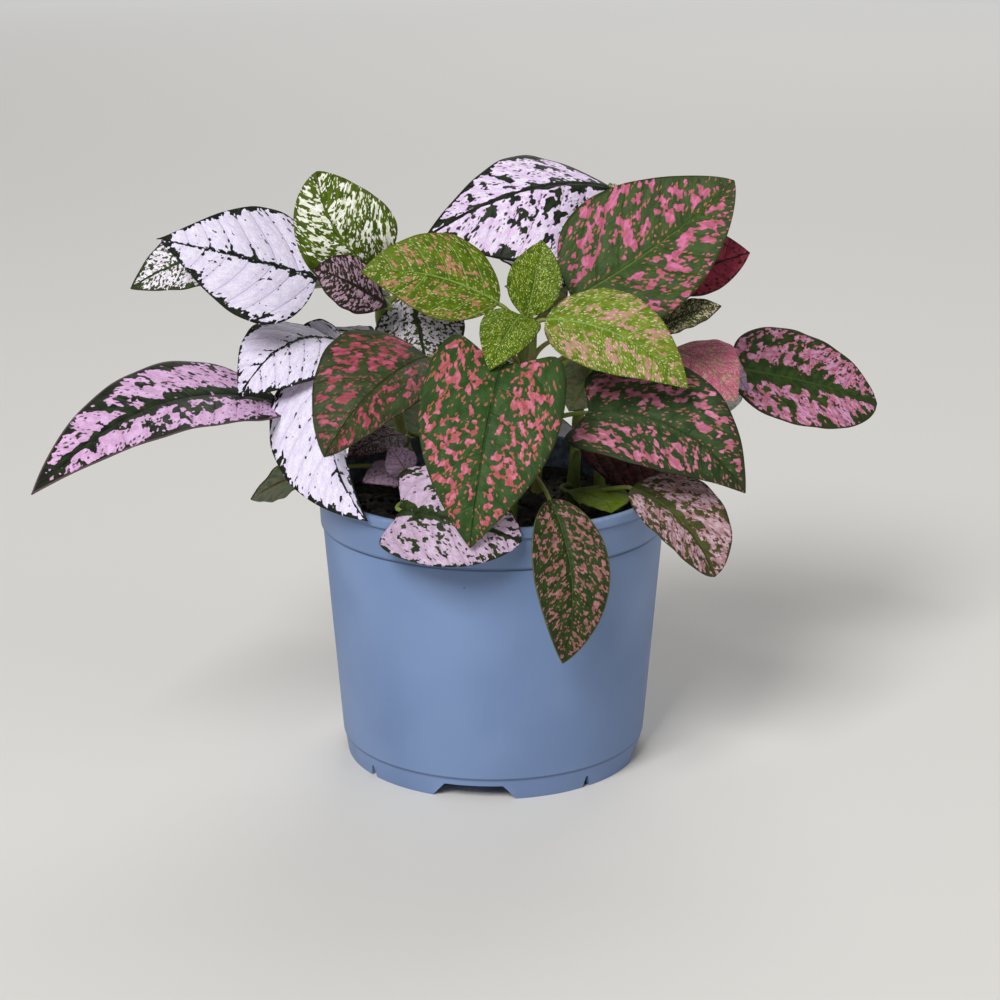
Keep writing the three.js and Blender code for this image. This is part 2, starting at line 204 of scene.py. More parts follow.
def split(vector):
    return [Wire(socket) for socket in add_node(vector.tree, "SeparateXYZ", {0: vector}).outputs]


def triple(x, y, z):
    return Wire(add_node(x.tree, "CombineXYZ", {"X": x, "Y": y, "Z": z}).outputs[0])


def noise(place, scale, detail, roughness=0.5):
    inputs = {"Vector": place, "Scale": scale, "Detail": detail, "Roughness": roughness}
    return Wire(add_node(place.tree, "TexNoise", inputs).outputs[0])


def cells(place, scale, more=None, **settings):
    """How far the nearest cell's middle is, and that cell's own random colour."""
    inputs = {"Vector": place, "Scale": scale, **(more or {})}
    made = add_node(place.tree, "TexVoronoi", inputs, **settings)
    return Wire(made.outputs["Distance"]), Wire(made.outputs["Color"])


def object_place(tree):
    """The point on the object in millimetres."""
    place = Wire(add_node(tree, "TexCoord", {}).outputs["Object"])
    return vector_calc("MULTIPLY", place, (1 / MM, 1 / MM, 1 / MM))


def new_material(name, specular):
    """A material, its tree, and the inputs of its Principled shader."""
    material = bpy.data.materials.new(name)
    material.use_nodes = True
    paint = material.node_tree.nodes["Principled BSDF"].inputs
    paint["Specular IOR Level"].default_value = specular
    return material, material.node_tree, paint


def add_bump(paint, height, distance):
    """Feeds a height in millimetres into the shader's normal."""
    inputs = {"Height": height, "Distance": distance * MM, "Strength": 1.0}
    plug(paint["Normal"], Wire(add_node(height.tree, "Bump", inputs).outputs[0]))


def new_group(name, inputs, outputs):
    """A node group with number inputs, given with their first values, and these outputs."""
    tree = bpy.data.node_groups.new(name, "ShaderNodeTree")
    for label, value in inputs.items():
        socket = tree.interface.new_socket(label, in_out="INPUT", socket_type="NodeSocketFloat")
        socket.default_value = value
    for label in outputs:
        kind = "NodeSocketVector" if label == "Vein" else "NodeSocketFloat"
        tree.interface.new_socket(label, in_out="OUTPUT", socket_type=kind)
    entry = tree.nodes.new("NodeGroupInput")
    given = {label: Wire(entry.outputs[label]) for label in inputs}
    return tree, given, tree.nodes.new("NodeGroupOutput").inputs


def use_group(tree, group, *wanted, **values):
    """Places a group in a material or in another group, and returns the outputs wanted."""
    inputs = {label.replace("_", " ").capitalize(): value for label, value in values.items()}
    made = add_node(tree, "Group", inputs, node_tree=group)
    return [Wire(made.outputs[label]) for label in wanted]


print("node helpers are ready")

# %% [markdown]
# ## The camera, the floor and the light
#
# The photograph was taken from just over the pot's rim, looking down about 16 degrees, with a long
# lens, so the camera stands 75 cm away. A wide pale floor serves as backdrop too, so its far part
# glows a little, where the lamps no longer reach. The light is soft: one large area light high on
# the left, where the pot is brightest, a weaker one on the right, one from behind that picks out
# the rims of the leaves, and a pale world that fills the shadows and is brighter where it is seen.

# %% Camera
CAMERA = {"place": (2.3, -750, 310), "down": 16.5, "lens": 82.98, "sensor": 36}

bpy.ops.object.camera_add(
    location=[value * MM for value in CAMERA["place"]],
    rotation=(math.radians(90 - CAMERA["down"]), 0, 0),
)
camera = added("camera")
camera.data.sensor_width = CAMERA["sensor"]
camera.data.lens = CAMERA["lens"]
camera.data.clip_start = 0.01
bpy.context.scene.camera = camera
bpy.context.scene.view_settings.view_transform = "Standard"
print("camera lens:", camera.data.lens, "mm")

# %% Floor
FLOOR = {"size": 14.0, "colour": (0.72, 0.71, 0.69, 1)}
GLOW = {"from": 1000, "to": 3400, "root": 0.55}


def floor_finish():
    """Pale paint, with a glow that grows with the square of the way past a first distance."""
    material, tree, paint = new_material("pale floor", 0.5)
    plug(paint["Base Color"], FLOOR["colour"])
    plug(paint["Roughness"], 0.7)
    away = vector_calc("LENGTH", object_place(tree), output="Value")
    root = ramp(away, GLOW["from"], GLOW["to"], 0.0, GLOW["root"], "LINEAR")
    plug(paint["Emission Color"], root * root)
    plug(paint["Emission Strength"], 1.0)
    return material


bpy.ops.mesh.primitive_plane_add(size=FLOOR["size"], location=(0, 0, 0))
floor = added("floor")
floor.data.materials.append(floor_finish())
print("floor:", FLOOR["size"], "m wide")

# %% Lamps and sky
LIGHTS = {
    "key": {"place": (-1.25, -2.5, 2.62), "size": 1.5, "power": 128, "colour": (1.0, 0.98, 0.95)},
    "fill": {"place": (2.4, -1.5, 1.5), "size": 2.2, "power": 15, "colour": (1.0, 0.92, 0.82)},
    "rim": {"place": (0.5, 2.4, 2.25), "size": 1.8, "power": 30, "colour": (1.0, 0.98, 0.95)},
}
LAMPS_AIM = Vector((0, 0, 0.11))
SKY = {"colour": (0.88, 0.92, 0.96, 1), "strength": 0.19, "seen": 0.75}

for name, light in LIGHTS.items():
    bpy.ops.object.light_add(type="AREA", location=light["place"])
    lamp = added(name + "_light")
    lamp.data.size = light["size"]
    lamp.data.energy = light["power"]
    lamp.data.color = light["colour"]
    aim = LAMPS_AIM - lamp.location
    lamp.rotation_euler = aim.to_track_quat("-Z", "Y").to_euler()

sky = bpy.data.worlds.new("soft sky")
sky.use_nodes = True
sky_light = sky.node_tree.nodes["Background"].inputs
seen = Wire(add_node(sky.node_tree, "LightPath", {}).outputs["Is Camera Ray"])
plug(sky_light["Color"], SKY["colour"])
plug(sky_light["Strength"], ramp(seen, 0, 1, SKY["strength"], SKY["seen"], "LINEAR"))
bpy.context.scene.world = sky
print("lights:", ", ".join(LIGHTS))

# %% [markdown]
# ## Shared effects of the leaves
#
# A leaf's colour follows its veins: the side veins leave the midrib and climb towards the tip, and
# splashes of colour stretch along them. So each blade carries two attributes. *leaf_place* says
# how far across and along the blade a point is, and which leaf it is on, and *leaf_reach* says how
# near it is to the margin. The first group turns these into vein coordinates: equal values of the
# first number lie on one side vein. The lengths are in millimetres on a leaf of middling size, so
# that a small leaf has smaller splashes.

# %% Vein coordinates
VEIN = {"climb": 0.45, "bend": 0.02, "gap": 7.6, "shift": 0.9, "halves apart": 15.5}
VEIN_OUTPUTS = ("Vein", "Rib", "Along", "Edge", "Side", "Climb")


def attribute(tree, name):
    return split(Wire(add_node(tree, "Attribute", {}, attribute_name=name).outputs["Vector"]))


def vein_group():
    tree, _, out = new_group("vein place", {}, VEIN_OUTPUTS)
    across, along, leaf = attribute(tree, "leaf_place")
    _, share, edge = attribute(tree, "leaf_reach")
    rib = calc("ABSOLUTE", across)
    half = calc("SIGN", across)
    climbed = rib * VEIN["climb"] + rib * rib * VEIN["bend"]
    level = along - climbed + half * VEIN["shift"]
    vein = triple(level, rib, leaf + half * VEIN["halves apart"])
    side = calc("PINGPONG", level, VEIN["gap"] / 2)
    for label, value in zip(VEIN_OUTPUTS, (vein, rib, share, edge, side, climbed)):
        plug(out[label], value)
    return tree


vein_place = vein_group()
print("group:", vein_place.name)

# %% [markdown]
# The splashes themselves are a soft noise in vein coordinates, cut at a sharp level. A second,
# finer noise shakes that level, so that the splashes get the jagged edges of the real ones, and
# *Slant* says how closely they follow the side veins. A zone along the midrib and one along the
# margin stay plain, and so do broken lines along the side veins. *Heart* is 1 deep inside a splash,
# where the colour is purest. The same group makes pink splashes on a green leaf and, with most of
# the leaf covered, the dark midrib, veins and specks of a white one.

# %% Splashes
SPLASH_INPUTS = {
    "Cover": 0.4,
    "Wide": 1.8,
    "Long": 1.7,
    "Slant": 0.5,
    "Jag": 0.18,
    "Soft": 0.01,
    "Clump": 0.25,
    "Rib zone": 3.0,
    "Rim zone": 0.6,
    "Vein line": 0.0,
    "Vein share": 0.5,
}
COVER = {"none": 0.72, "per share": -0.44}
NARROWEST = 0.01


def plain_zones(given, fine, drift, vein, rib, along, edge, side):
    """How firmly the colour is kept off the midrib, off the margin and off the side veins."""
    zone = given["Rib zone"] * ramp(along, 0.1, 1.0, 1.0, 0.3)
    beside_rib = (rib + drift * 3.0 * zone) / calc("MAXIMUM", zone, NARROWEST)
    near_rib = ramp(beside_rib, 0.3, 1.3, 0.4, 0.0)
    rim_zone = given["Rim zone"] * ramp(drift, -0.05, 0.14, 0.8, 2.4)
    near_rim = ramp((fine * 5.0 + edge) / rim_zone, 0.4, 1.5, 0.45, 0.0)
    broken = ramp(noise(vein, 0.22, 2.0, 0.6), 0.46, 0.6, 0.0, 0.5) * given["Vein share"]
    vein_ends = calc("MAXIMUM", ramp(rib, 1.5, 6.0, 1.0, 0.3), ramp(edge, 1.5, 4.5, 1.0, 0.3))
    beside_vein = (fine * 1.6 + side) / calc("MAXIMUM", given["Vein line"], NARROWEST)
    near_vein = ramp(beside_vein, 0.4, 1.6, 1.0, 0.0) * (broken * vein_ends)
    return calc("MAXIMUM", near_rib, near_rim) + near_vein


def splash_group():
    tree, given, out = new_group("splashes", SPLASH_INPUTS, ("Splash", "Heart"))
    vein, rib, along, edge, side, climbed = use_group(tree, vein_place, *VEIN_OUTPUTS)
    leant = vector_calc("ADD", vein, triple(climbed * (1.0 - given["Slant"]), 0.0, 0.0))
    place = vector_calc("DIVIDE", leant, triple(given["Wide"], given["Long"], 1.0))
    fine = noise(leant, 0.62, 1.5) - 0.5
    drift = noise(vein, 0.13, 1.0) - 0.5
    plain = given["Cover"] * COVER["per share"] + COVER["none"] + drift * given["Clump"]
    plain = plain + plain_zones(given, fine, drift, vein, rib, along, edge, side)
    field = noise(place, 1.0, 1.2, 0.45) + fine * given["Jag"] - plain
    plug(out["Splash"], ramp((field + given["Soft"]) / (given["Soft"] * 2.0), 0.0, 1.0))
    plug(out["Heart"], ramp(field, 0.0, 0.08))
    return tree


splashes = splash_group()
print("group:", splashes.name)

# %% [markdown]
# The flecks are small round dots between the splashes. Each cell of a Voronoi pattern has one, at
# its middle, and the cell's random colour says how large the dot is and whether there is one.

# %% Flecks
def fleck_group():
    inputs = {"Size": 1.0, "Stretch": 0.9, "Share": 0.5, "Fat": 0.32}
    tree, given, out = new_group("flecks", inputs, ("Fleck",))
    level, across, leaf = split(use_group(tree, vein_place, "Vein")[0])
    x = level / given["Size"] + leaf * 3.7
    y = across / (given["Size"] * given["Stretch"]) + leaf * 5.3
    sideways = (noise(triple(x, y, 0.0), 1.6, 2.0, 0.6) - 0.5) * 0.9
    place = triple(x + sideways, y + sideways, 0.0)
    distance, colour = cells(place, 1.0, voronoi_dimensions="2D")
    chance, girth, _ = split(colour)
    inside = given["Fat"] * (girth * 0.9 + 0.55) - distance
    plug(out["Fleck"], ramp(inside, -0.05, 0.05) * calc("LESS_THAN", chance, given["Share"]))
    return tree


flecks = fleck_group()
print("group:", flecks.name)

# %% [markdown]
# The relief group gives the fine surface that a shader can carry: the thin grooves of the midrib
# and side veins, and the tiny puckers between them. The broad quilting is modelled in the blades.

# %% Leaf relief
def relief_group():
    inputs = {"Pucker": 1.0, "Veins": 0.5}
    tree, given, out = new_group("leaf relief", inputs, ("Height", "Line", "Midrib"))
    labels = ("Vein", "Rib", "Along", "Edge", "Side")
    vein, rib, along, edge, side = use_group(tree, vein_place, *labels)
    shaken = side + (noise(vein, 0.5, 2.0, 0.6) - 0.5) * 0.9
    line = ramp(shaken, 0.0, 0.55, 1.0, 0.0) * ramp(edge, 0.2, 2.2)
    midrib = ramp(rib - ramp(along, 0.2, 1.0, 0.55, 0.2), -0.3, 0.1, 1.0, 0.0)
    puckers, _ = cells(vein, 0.75, {"Smoothness": 0.6}, feature="SMOOTH_F1")
    grain = noise(vein, 3.0, 2.0, 0.6) * 0.12
    height = grain - puckers * given["Pucker"] * 0.35 - line * given["Veins"] - midrib
    for label, value in (("Height", height), ("Line", line), ("Midrib", midrib)):
        plug(out[label], value)
    return tree


relief = relief_group()
print("group:", relief.name)

# %% [markdown]
# ## The pot
#
# The pot is one thin plastic moulding: a slightly tapered wall with a plain band and a rounded lip,
# a raised floor with drain holes, and a foot ring that is notched so that water can run out. By
# hand it would be turned: a circle is extruded from ring to ring through its profile, up the
# outside, over the lip and down the inside, which gives one closed shell with a true wall. The
# profile is the solid's own, in millimetres, so the piece fills the same place.

# %% Pot sizes
POT = {
    "height": 96,
    "rim": 60,
    "lip width": 2.6,
    "lip": 3.7,
    "neck": 58.9,
    "band foot": 82,
    "band": 58.5,
    "body": 57.7,
    "ankle": 52.1,
    "foot top": 7.3,
    "foot": 50.6,
    "foot ring": 1.7,
    "wall": 1.3,
    "groove": 0.4,
    "edge": 0.5,
    "floor under": 5.5,
    "floor top": 6.8,
    "sides": 144,
}
ROUNDING = {"width": 0.22 * MM, "segments": 2, "angle_limit": math.radians(24)}


def pot_profile():
    height, rim, lip = POT["height"], POT["rim"], POT["lip"]
    edge, groove = POT["edge"], POT["groove"]
    mouth = rim - POT["lip width"]
    return [
        (POT["foot"] - POT["foot ring"] - edge, POT["floor under"]),
        (POT["foot"] - POT["foot ring"], 0),
        (POT["foot"], 0),
        (POT["ankle"] - groove, POT["foot top"]),
        (POT["ankle"], POT["foot top"] + groove),
        (POT["body"], POT["band foot"] - 2 * groove),
        (POT["body"] - groove, POT["band foot"] - groove),
        (POT["band"], POT["band foot"]),
        (POT["neck"], height - lip - groove),
        (rim - edge, height - lip),
        (rim, height - lip + edge),
        (rim, height - edge),
        (rim - edge, height),
        (mouth + edge, height),
        (mouth, height - edge),
        (POT["band"] - POT["wall"], POT["band foot"]),
        (POT["ankle"] - POT["wall"], POT["foot top"]),
        (POT["ankle"] - POT["wall"] - edge, POT["floor top"]),
    ]


def turned(name, sides, profile):
    """A closed piece: a circle extruded through [radius, height] points round the z axis."""
    select_only()
    first_radius, first_height = profile[0]
    bpy.ops.mesh.primitive_circle_add(
        vertices=sides,
        radius=first_radius * MM,
        fill_type="NGON",
        location=(0, 0, first_height * MM),
    )
    piece = added(name)
    settle(piece)
    with edit_mode():
        bpy.ops.mesh.region_to_loop()
        for (radius, height), (wider, higher) in zip(profile, profile[1:]):
            lift = (0, 0, (higher - height) * MM)
            bpy.ops.mesh.extrude_region_move(TRANSFORM_OT_translate={"value": lift})
            widen = (wider / radius, wider / radius, 1)
            bpy.ops.transform.resize(value=widen, center_override=(0, 0, higher * MM))
        bpy.ops.mesh.edge_face_add()
        bpy.ops.mesh.select_all(action="SELECT")
        bpy.ops.mesh.normals_make_consistent(inside=False)
    return piece


pot = turned("nursery_pot", POT["sides"], pot_profile())
apply_modifier(pot, "BEVEL", **ROUNDING)
print("pot shell:", len(pot.data.polygons), "faces")

# %% [markdown]
# The foot ring has four wide notches and four narrow slots, which taper upwards, and the floor has
# six round drain holes. They are cut as a saw or a drill would cut them: a cutter is placed, a
# Boolean takes it out of the shell, and the cutter is thrown away.

# %% Notches, slots and drain holes
CUTS = {"inside": 44.6, "outside": 53.6, "below": 1}
NOTCH = {"count": 4, "turn": -7.2, "wide": 28, "narrow": 19.4, "tall": 5}
SLOT = {"count": 4, "turn": 37.8, "wide": 3.2, "narrow": 1, "tall": 4}
DRAIN = {"count": 6, "ring": 33, "radius": 3.5, "sides": 32, "tall": 6}
POT_SMOOTH = math.radians(28)


def foot_cutter(cut, turn):
    """A wedge through the foot ring, as wide at its foot and as narrow at its top as the cut."""
    tall = cut["tall"] + CUTS["below"]
    flare = (cut["wide"] - cut["narrow"]) / cut["tall"] * CUTS["below"]
    middle = (CUTS["inside"] + CUTS["outside"]) / 2
    deep = CUTS["outside"] - CUTS["inside"]
    select_only()
    bpy.ops.mesh.primitive_cube_add(
        size=1,
        location=(0, -middle * MM, (cut["tall"] - CUTS["below"]) / 2 * MM),
        scale=((cut["wide"] + flare) * MM, deep * MM, tall * MM),
    )
    cutter = added("foot_cutter")
    settle(cutter)
    bpy.ops.object.mode_set(mode="EDIT")
    bpy.ops.mesh.select_all(action="DESELECT")
    bpy.ops.object.mode_set(mode="OBJECT")
    for corner in cutter.data.vertices:
        corner.select = corner.co.z > 0
    bpy.ops.object.mode_set(mode="EDIT")
    squeeze = cut["narrow"] / (cut["wide"] + flare)
    bpy.ops.transform.resize(value=(squeeze, 1, 1), center_override=(0, 0, 0))
    bpy.ops.object.mode_set(mode="OBJECT")
    cutter.rotation_euler.z = math.radians(turn)
    return cutter


def drain_cutter(angle):
    x, y = DRAIN["ring"] * math.cos(angle), DRAIN["ring"] * math.sin(angle)
    select_only()
    bpy.ops.mesh.primitive_cylinder_add(
        vertices=DRAIN["sides"],
        radius=DRAIN["radius"] * MM,
        depth=DRAIN["tall"] * MM,
        location=(x * MM, y * MM, POT["floor top"] * MM),
    )
    return added("drain_cutter")


cutters = []
for cut in (NOTCH, SLOT):
    for index in range(cut["count"]):
        cutters.append(foot_cutter(cut, cut["turn"] + 360 / cut["count"] * index))
for index in range(DRAIN["count"]):
    cutters.append(drain_cutter(2 * math.pi * index / DRAIN["count"]))
for cutter in cutters:
    settle(cutter)
    apply_modifier(pot, "BOOLEAN", object=cutter, operation="DIFFERENCE", solver="EXACT")
    bpy.data.objects.remove(cutter)
select_only(pot)
bpy.ops.object.shade_smooth_by_angle(angle=POT_SMOOTH)
print("pot cut:", len(cutters), "cuts,", len(pot.data.polygons), "faces")

# %% [markdown]
# The plastic is a dull blue-grey with a faint bloom: broad soft clouds of a slightly different
# tone, a very fine grain from the mould, and small brown specks of compost. The lip's top is a
# little paler in streaks, a painted highlight, and painted shade darkens the creases of the profile
# and the inside wall, over a stain from the soil.

# %% Pot finish
POT_TINTS = {
    "plain": tint(118, 141, 182),
    "cloud": tint(108, 131, 172),
    "wear_and_highlight": tint(134, 152, 182),
    "crease_shade": tint(66, 78, 104),
    "stain_and_shade": tint(36, 36, 34),
    "speck": tint(70, 58, 48),
}
SHADED_CREASES = (POT["foot top"], POT["band foot"], POT["height"] - POT["lip"])
MIDDLE_OF_WALL = {"radius": 50.9, "slope": 0.075}
INSIDE_SHADE_STARTS = (12.0, 16.0)
SPECKS_OF_SOIL = {"scale": 0.11, "small": 0.012, "more": 0.03, "share": 0.3, "soft": 0.006}


def pot_finish():
    material, tree, paint = new_material("matte blue grey plastic", 0.4)
    place = object_place(tree)
    x, y, z = split(place)
    clouds = ramp(noise(place, 0.02, 2.0), 0.35, 0.65)
    colour = blend(clouds, POT_TINTS["plain"], POT_TINTS["cloud"])
    streaks = noise(triple(x, y, z * 0.12), 0.35, 2.0)
    # painted highlight: the top 1.5 mm of the lip is paler in streaks; the faint pale streaks
    # elsewhere are wear
    lip_highlight = ramp(z, POT["height"] - 1.5, POT["height"]) * ramp(streaks, 0.35, 0.6) * 0.6
    wear_and_highlight = calc("MAXIMUM", lip_highlight, ramp(streaks, 0.56, 0.75, 0.0, 0.06))
    colour = blend(wear_and_highlight, colour, POT_TINTS["wear_and_highlight"])
    # painted shade: a dark line along each crease of the profile, over the foot, under the band and
    # under the lip
    for height in SHADED_CREASES:
        apart = calc("ABSOLUTE", z - height)
        colour = blend(ramp(apart, 0.15, 0.9, 0.55, 0.0), colour, POT_TINTS["crease_shade"])
    radius = vector_calc("LENGTH", triple(x, y, 0.0), output="Value")
    past = radius - (z * MIDDLE_OF_WALL["slope"] + MIDDLE_OF_WALL["radius"])
    # painted shade over a soil stain: the inside wall turns mottled near black, fading in from 12
    # to 16 mm up
    inside = ramp(past, 0.0, 0.6, 1.0, 0.0) * ramp(z, *INSIDE_SHADE_STARTS)
    stain_and_shade = inside * ramp(noise(place, 0.3, 4.0), 0.3, 0.6, 0.7, 0.95)
    colour = blend(stain_and_shade, colour, POT_TINTS["stain_and_shade"])
    distance, luck = cells(place, SPECKS_OF_SOIL["scale"])
    chance, girth, _ = split(luck)
    reach = girth * SPECKS_OF_SOIL["more"] + SPECKS_OF_SOIL["small"]
    reach = reach * calc("LESS_THAN", chance, SPECKS_OF_SOIL["share"])
    soft = SPECKS_OF_SOIL["soft"]
    colour = blend(ramp(reach - distance, -soft, soft, 0.0, 0.7), colour, POT_TINTS["speck"])
    grain = noise(place, 2.2, 2.0)
    plug(paint["Base Color"], colour)
    plug(paint["Roughness"], ramp(clouds, 0.0, 1.0, 0.47, 0.55) + grain * 0.08)
    add_bump(paint, grain * 0.5 + streaks * 0.5, 0.05)
    return material


pot.data.materials.append(pot_finish())
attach(pot, "root")
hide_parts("pot")
print("pot finish:", pot.data.materials[0].name)

# %% [markdown]
# ## The soil
#
# The pot is filled to 11 mm under its lip with dark, moist compost. Its body is a plug that is
# extruded from a circle, up the inside of the wall and then inwards over the top in rings, so that
# the top has enough points to be pushed up and down by two Displace modifiers: a broad one for
# the lumps and a fine one for the crumbs. The stems rise out of it, so it closes round them.

# %% Soil plug
SOIL = {"top": 84.5, "shoulder": 3.0, "bottom": 7.1, "wall gap": 0.3, "rings": 36, "sides": 120}
LAST_RING = 0.4
SOIL_WAVES = {"lumps": (9.0, 5.0), "crumbs": (2.4, 2.2)}
SOIL_SMOOTH = math.radians(40)


def inner_radius(height):
    """The inside wall's radius at a height, between the floor and the band."""
    low = POT["ankle"] - POT["wall"]
    high = POT["band"] - POT["wall"]
    return low + (high - low) * (height - POT["foot top"]) / (POT["band foot"] - POT["foot top"])


foot_radius = POT["ankle"] - POT["wall"] - POT["edge"] - SOIL["wall gap"]
top_radius = inner_radius(SOIL["top"] - SOIL["shoulder"]) - SOIL["wall gap"]
rings = [(foot_radius, SOIL["bottom"]), (top_radius, SOIL["top"] - SOIL["shoulder"])]
for index in range(SOIL["rings"]):
    rings.append((top_radius * (1 - (index + LAST_RING) / SOIL["rings"]), SOIL["top"]))
soil = turned("moist_compost", SOIL["sides"], rings)
top_group = soil.vertex_groups.new(name="top")
on_top = [point.index for point in soil.data.vertices if point.co.z > (SOIL["top"] - 0.1) * MM]
top_group.add(on_top, 1.0, "REPLACE")
for name, (grain, strength) in SOIL_WAVES.items():
    clouds = bpy.data.textures.new("soil " + name, "CLOUDS")
    clouds.noise_scale = grain * MM
    clouds.noise_depth = 3
    apply_modifier(
        soil,
        "DISPLACE",
        texture=clouds,
        texture_coords="LOCAL",
        direction="Z",
        mid_level=0.5,
        strength=strength * MM,
        vertex_group="top",
    )
bpy.ops.object.shade_smooth_by_angle(angle=SOIL_SMOOTH)
heights = [soil.data.vertices[index].co.z / MM for index in on_top]
print("soil top:", round(min(heights), 1), "to", round(max(heights), 1), "mm")

# %% [markdown]
# Loose crumbs and a few splinters of bark lie on top. One crumb is modelled, from an icosphere of
# 20 faces that is squeezed and jittered, and copied a few hundred times, each copy turned and sized
# anew, and pressed a little into the soil where it lies.

# %% Crumbs
CRUMBS = {"count": 420, "small": 0.5, "large": 1.7, "rarity": 1.2, "spread": 55, "sunk": 0.25}
BARK = {"share": 0.06, "shape": (2.4, 0.55, 0.4)}
scatter = np.random.default_rng(11)


def crumb_master():
    select_only()
    bpy.ops.mesh.primitive_ico_sphere_add(subdivisions=1, radius=1 * MM)
    master = added("crumb")
    with edit_mode():
        bpy.ops.transform.resize(value=(1.0, 0.8, 0.65))
        bpy.ops.transform.vertex_random(offset=0.2 * MM, seed=3)
    return master


def soil_height(points, x, y):
    """The height of the soil's top at the vertex nearest to this place."""
    nearest = np.argmin((points[:, 0] - x) ** 2 + (points[:, 1] - y) ** 2)
    return points[nearest, 2]


tops = np.array([soil.data.vertices[index].co[:] for index in on_top])
master = crumb_master()
crumbs = []
for _ in range(CRUMBS["count"]):
    crumb = copy_of(master, "crumb")
    angle = scatter.uniform(0, 2 * math.pi)
    radius = math.sqrt(scatter.uniform(0, 1)) * CRUMBS["spread"] * MM
    size = scatter.uniform(CRUMBS["small"], CRUMBS["large"]) ** CRUMBS["rarity"]
    bark = scatter.uniform() < BARK["share"]
    x, y = radius * math.cos(angle), radius * math.sin(angle)
    crumb.location = (x, y, soil_height(tops, x, y) + size * CRUMBS["sunk"] * MM)
    crumb.rotation_euler = scatter.uniform(0, 6, 3)
    crumb.scale = [size * side for side in (BARK["shape"] if bark else (1, 1, 1))]
    crumb["bark"] = int(bark)
    crumbs.append(crumb)
bpy.data.objects.remove(master)
print("crumbs:", len(crumbs), "of which bark", sum(crumb["bark"] for crumb in crumbs))

# %% [markdown]
# Compost is nearly black when it is moist, with brown fibres in it, and it glistens a little. The
# bark is the same mix with more brown, so one function makes both finishes.

# %% Soil finish
def soil_finish(name, dark, pale, fibre, share):
    material, tree, paint = new_material(name, 0.35)
    place = object_place(tree)
    mottle = ramp(noise(place, 0.4, 4.0, 0.65), 0.35, 0.7)
    _, luck = cells(place, 0.7)
    fibres = calc("LESS_THAN", split(luck)[0], share) * 0.7
    plug(paint["Base Color"], blend(fibres, blend(mottle, dark, pale), fibre))
    plug(paint["Roughness"], ramp(noise(place, 0.25, 2.0), 0.4, 0.7, 0.9, 0.55))
    add_bump(paint, noise(place, 1.4, 5.0, 0.7), 0.9)
    return material


SOIL_MIX = (tint(12, 10, 9), tint(30, 24, 20), tint(66, 50, 38), 0.06)
BARK_MIX = (tint(60, 44, 32), tint(96, 74, 54), tint(120, 96, 70), 0.3)

soil.data.materials.append(soil_finish("moist compost", *SOIL_MIX))
bark_finish = soil_finish("bark splinters", *BARK_MIX)
for crumb in crumbs:
    crumb.data.materials.append(bark_finish if crumb["bark"] else soil.data.materials[0])
    del crumb["bark"]
soil = joined("moist_compost", [soil] + crumbs)
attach(soil, "root")
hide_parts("soil")
print("soil:", len(soil.data.polygons), "faces")

# %% [markdown]
# ## Leaf finishes
#
# The seedlings are of five or six colours. In all of them a blade is a dark or lime green ground
# with splashes of red, pink, white or lilac over it, and what differs is how much the splashes
# cover, how long they are, and how wide the plain zones at the midrib and the margin are. So one
# recipe makes them all. Each row gives two tones of the ground, two of the splashes, the values of
# the splash group, and a second layer of small flecks in the ground's or another colour. *Dusk* is
# how much darker and redder the blade is along its margin.

# %% Recipes
DUSK = {"darker": 0.72, "redder": (16, 4, 8)}
RECIPES = {}


def recipe(
    name,
    ground,
    splash,
    flecks=None,
    midrib=None,
    pale_veins=0.0,
    rim=None,
    dusk=0.5,
    veins=0.04,
    **pattern,
):
    shaded = [tone * DUSK["darker"] + more for tone, more in zip(ground[0], DUSK["redder"])]
    RECIPES[name] = {
        "ground": [tint(*tone) for tone in ground],
        "splash": [tint(*tone) for tone in splash],
        "pattern": pattern,
        "flecks": flecks,
        "midrib": midrib,
        "pale veins": pale_veins,
        "rim": rim,
        "dusk": dusk,
        "dusk tint": tint(*shaded),
        "veins": veins,
    }


INK_GREEN = ((16, 26, 18), (36, 50, 30))
FOREST_GREEN = ((42, 72, 30), (58, 86, 44))
SPECKS = {"size": 1.5, "share": 0.42, "fat": 0.24}
DOTS = {"size": 1.6, "share": 0.34, "fat": 0.24}
SPOTS = {"size": 2.1, "share": 0.22, "fat": 0.22}
PALE_DOTS = {"size": 1.15, "share": 0.45, "fat": 0.27}
FEW_DOTS = {"size": 2.6, "share": 0.06, "fat": 0.18}

recipe(
    "lime_speckled", ((66, 90, 0), (88, 112, 4)), ((124, 142, 34), (104, 126, 22)), cover=0.3,
    wide=1.2, long=1.1, soft=0.06, flecks=(PALE_DOTS, (196, 204, 124)), midrib=(150, 176, 84),
    pale_veins=0.4, dusk=0.3,
)
recipe(
    "lime_coral", ((68, 94, 0), (94, 118, 14)), ((186, 122, 118), (148, 114, 70)), cover=0.24,
    wide=1.5, long=1.5, jag=0.34, soft=0.05, clump=0.8, flecks=(PALE_DOTS, (182, 186, 124)),
    midrib=(146, 176, 90), pale_veins=0.5, rim=(104, 96, 24), rib_zone=2.4, rim_zone=1.0, dusk=0.2,
)
recipe(
    "lime_pink", ((90, 114, 16), (122, 140, 46)), ((196, 134, 146), (160, 140, 92)), cover=0.38,
    wide=1.7, long=1.8, jag=0.34, soft=0.06, clump=0.9, flecks=(PALE_DOTS, (206, 202, 152)),
    midrib=(136, 174, 84), pale_veins=0.5, rib_zone=3.2, rim_zone=0.5, dusk=0.2,
)
recipe(
    "red_splashed", FOREST_GREEN, ((206, 118, 148), (166, 82, 82)), cover=0.42, slant=0.15,
    jag=0.13, flecks=(DOTS, (164, 102, 82)), midrib=(38, 62, 28), rib_zone=3.6, rim_zone=1.4,
)
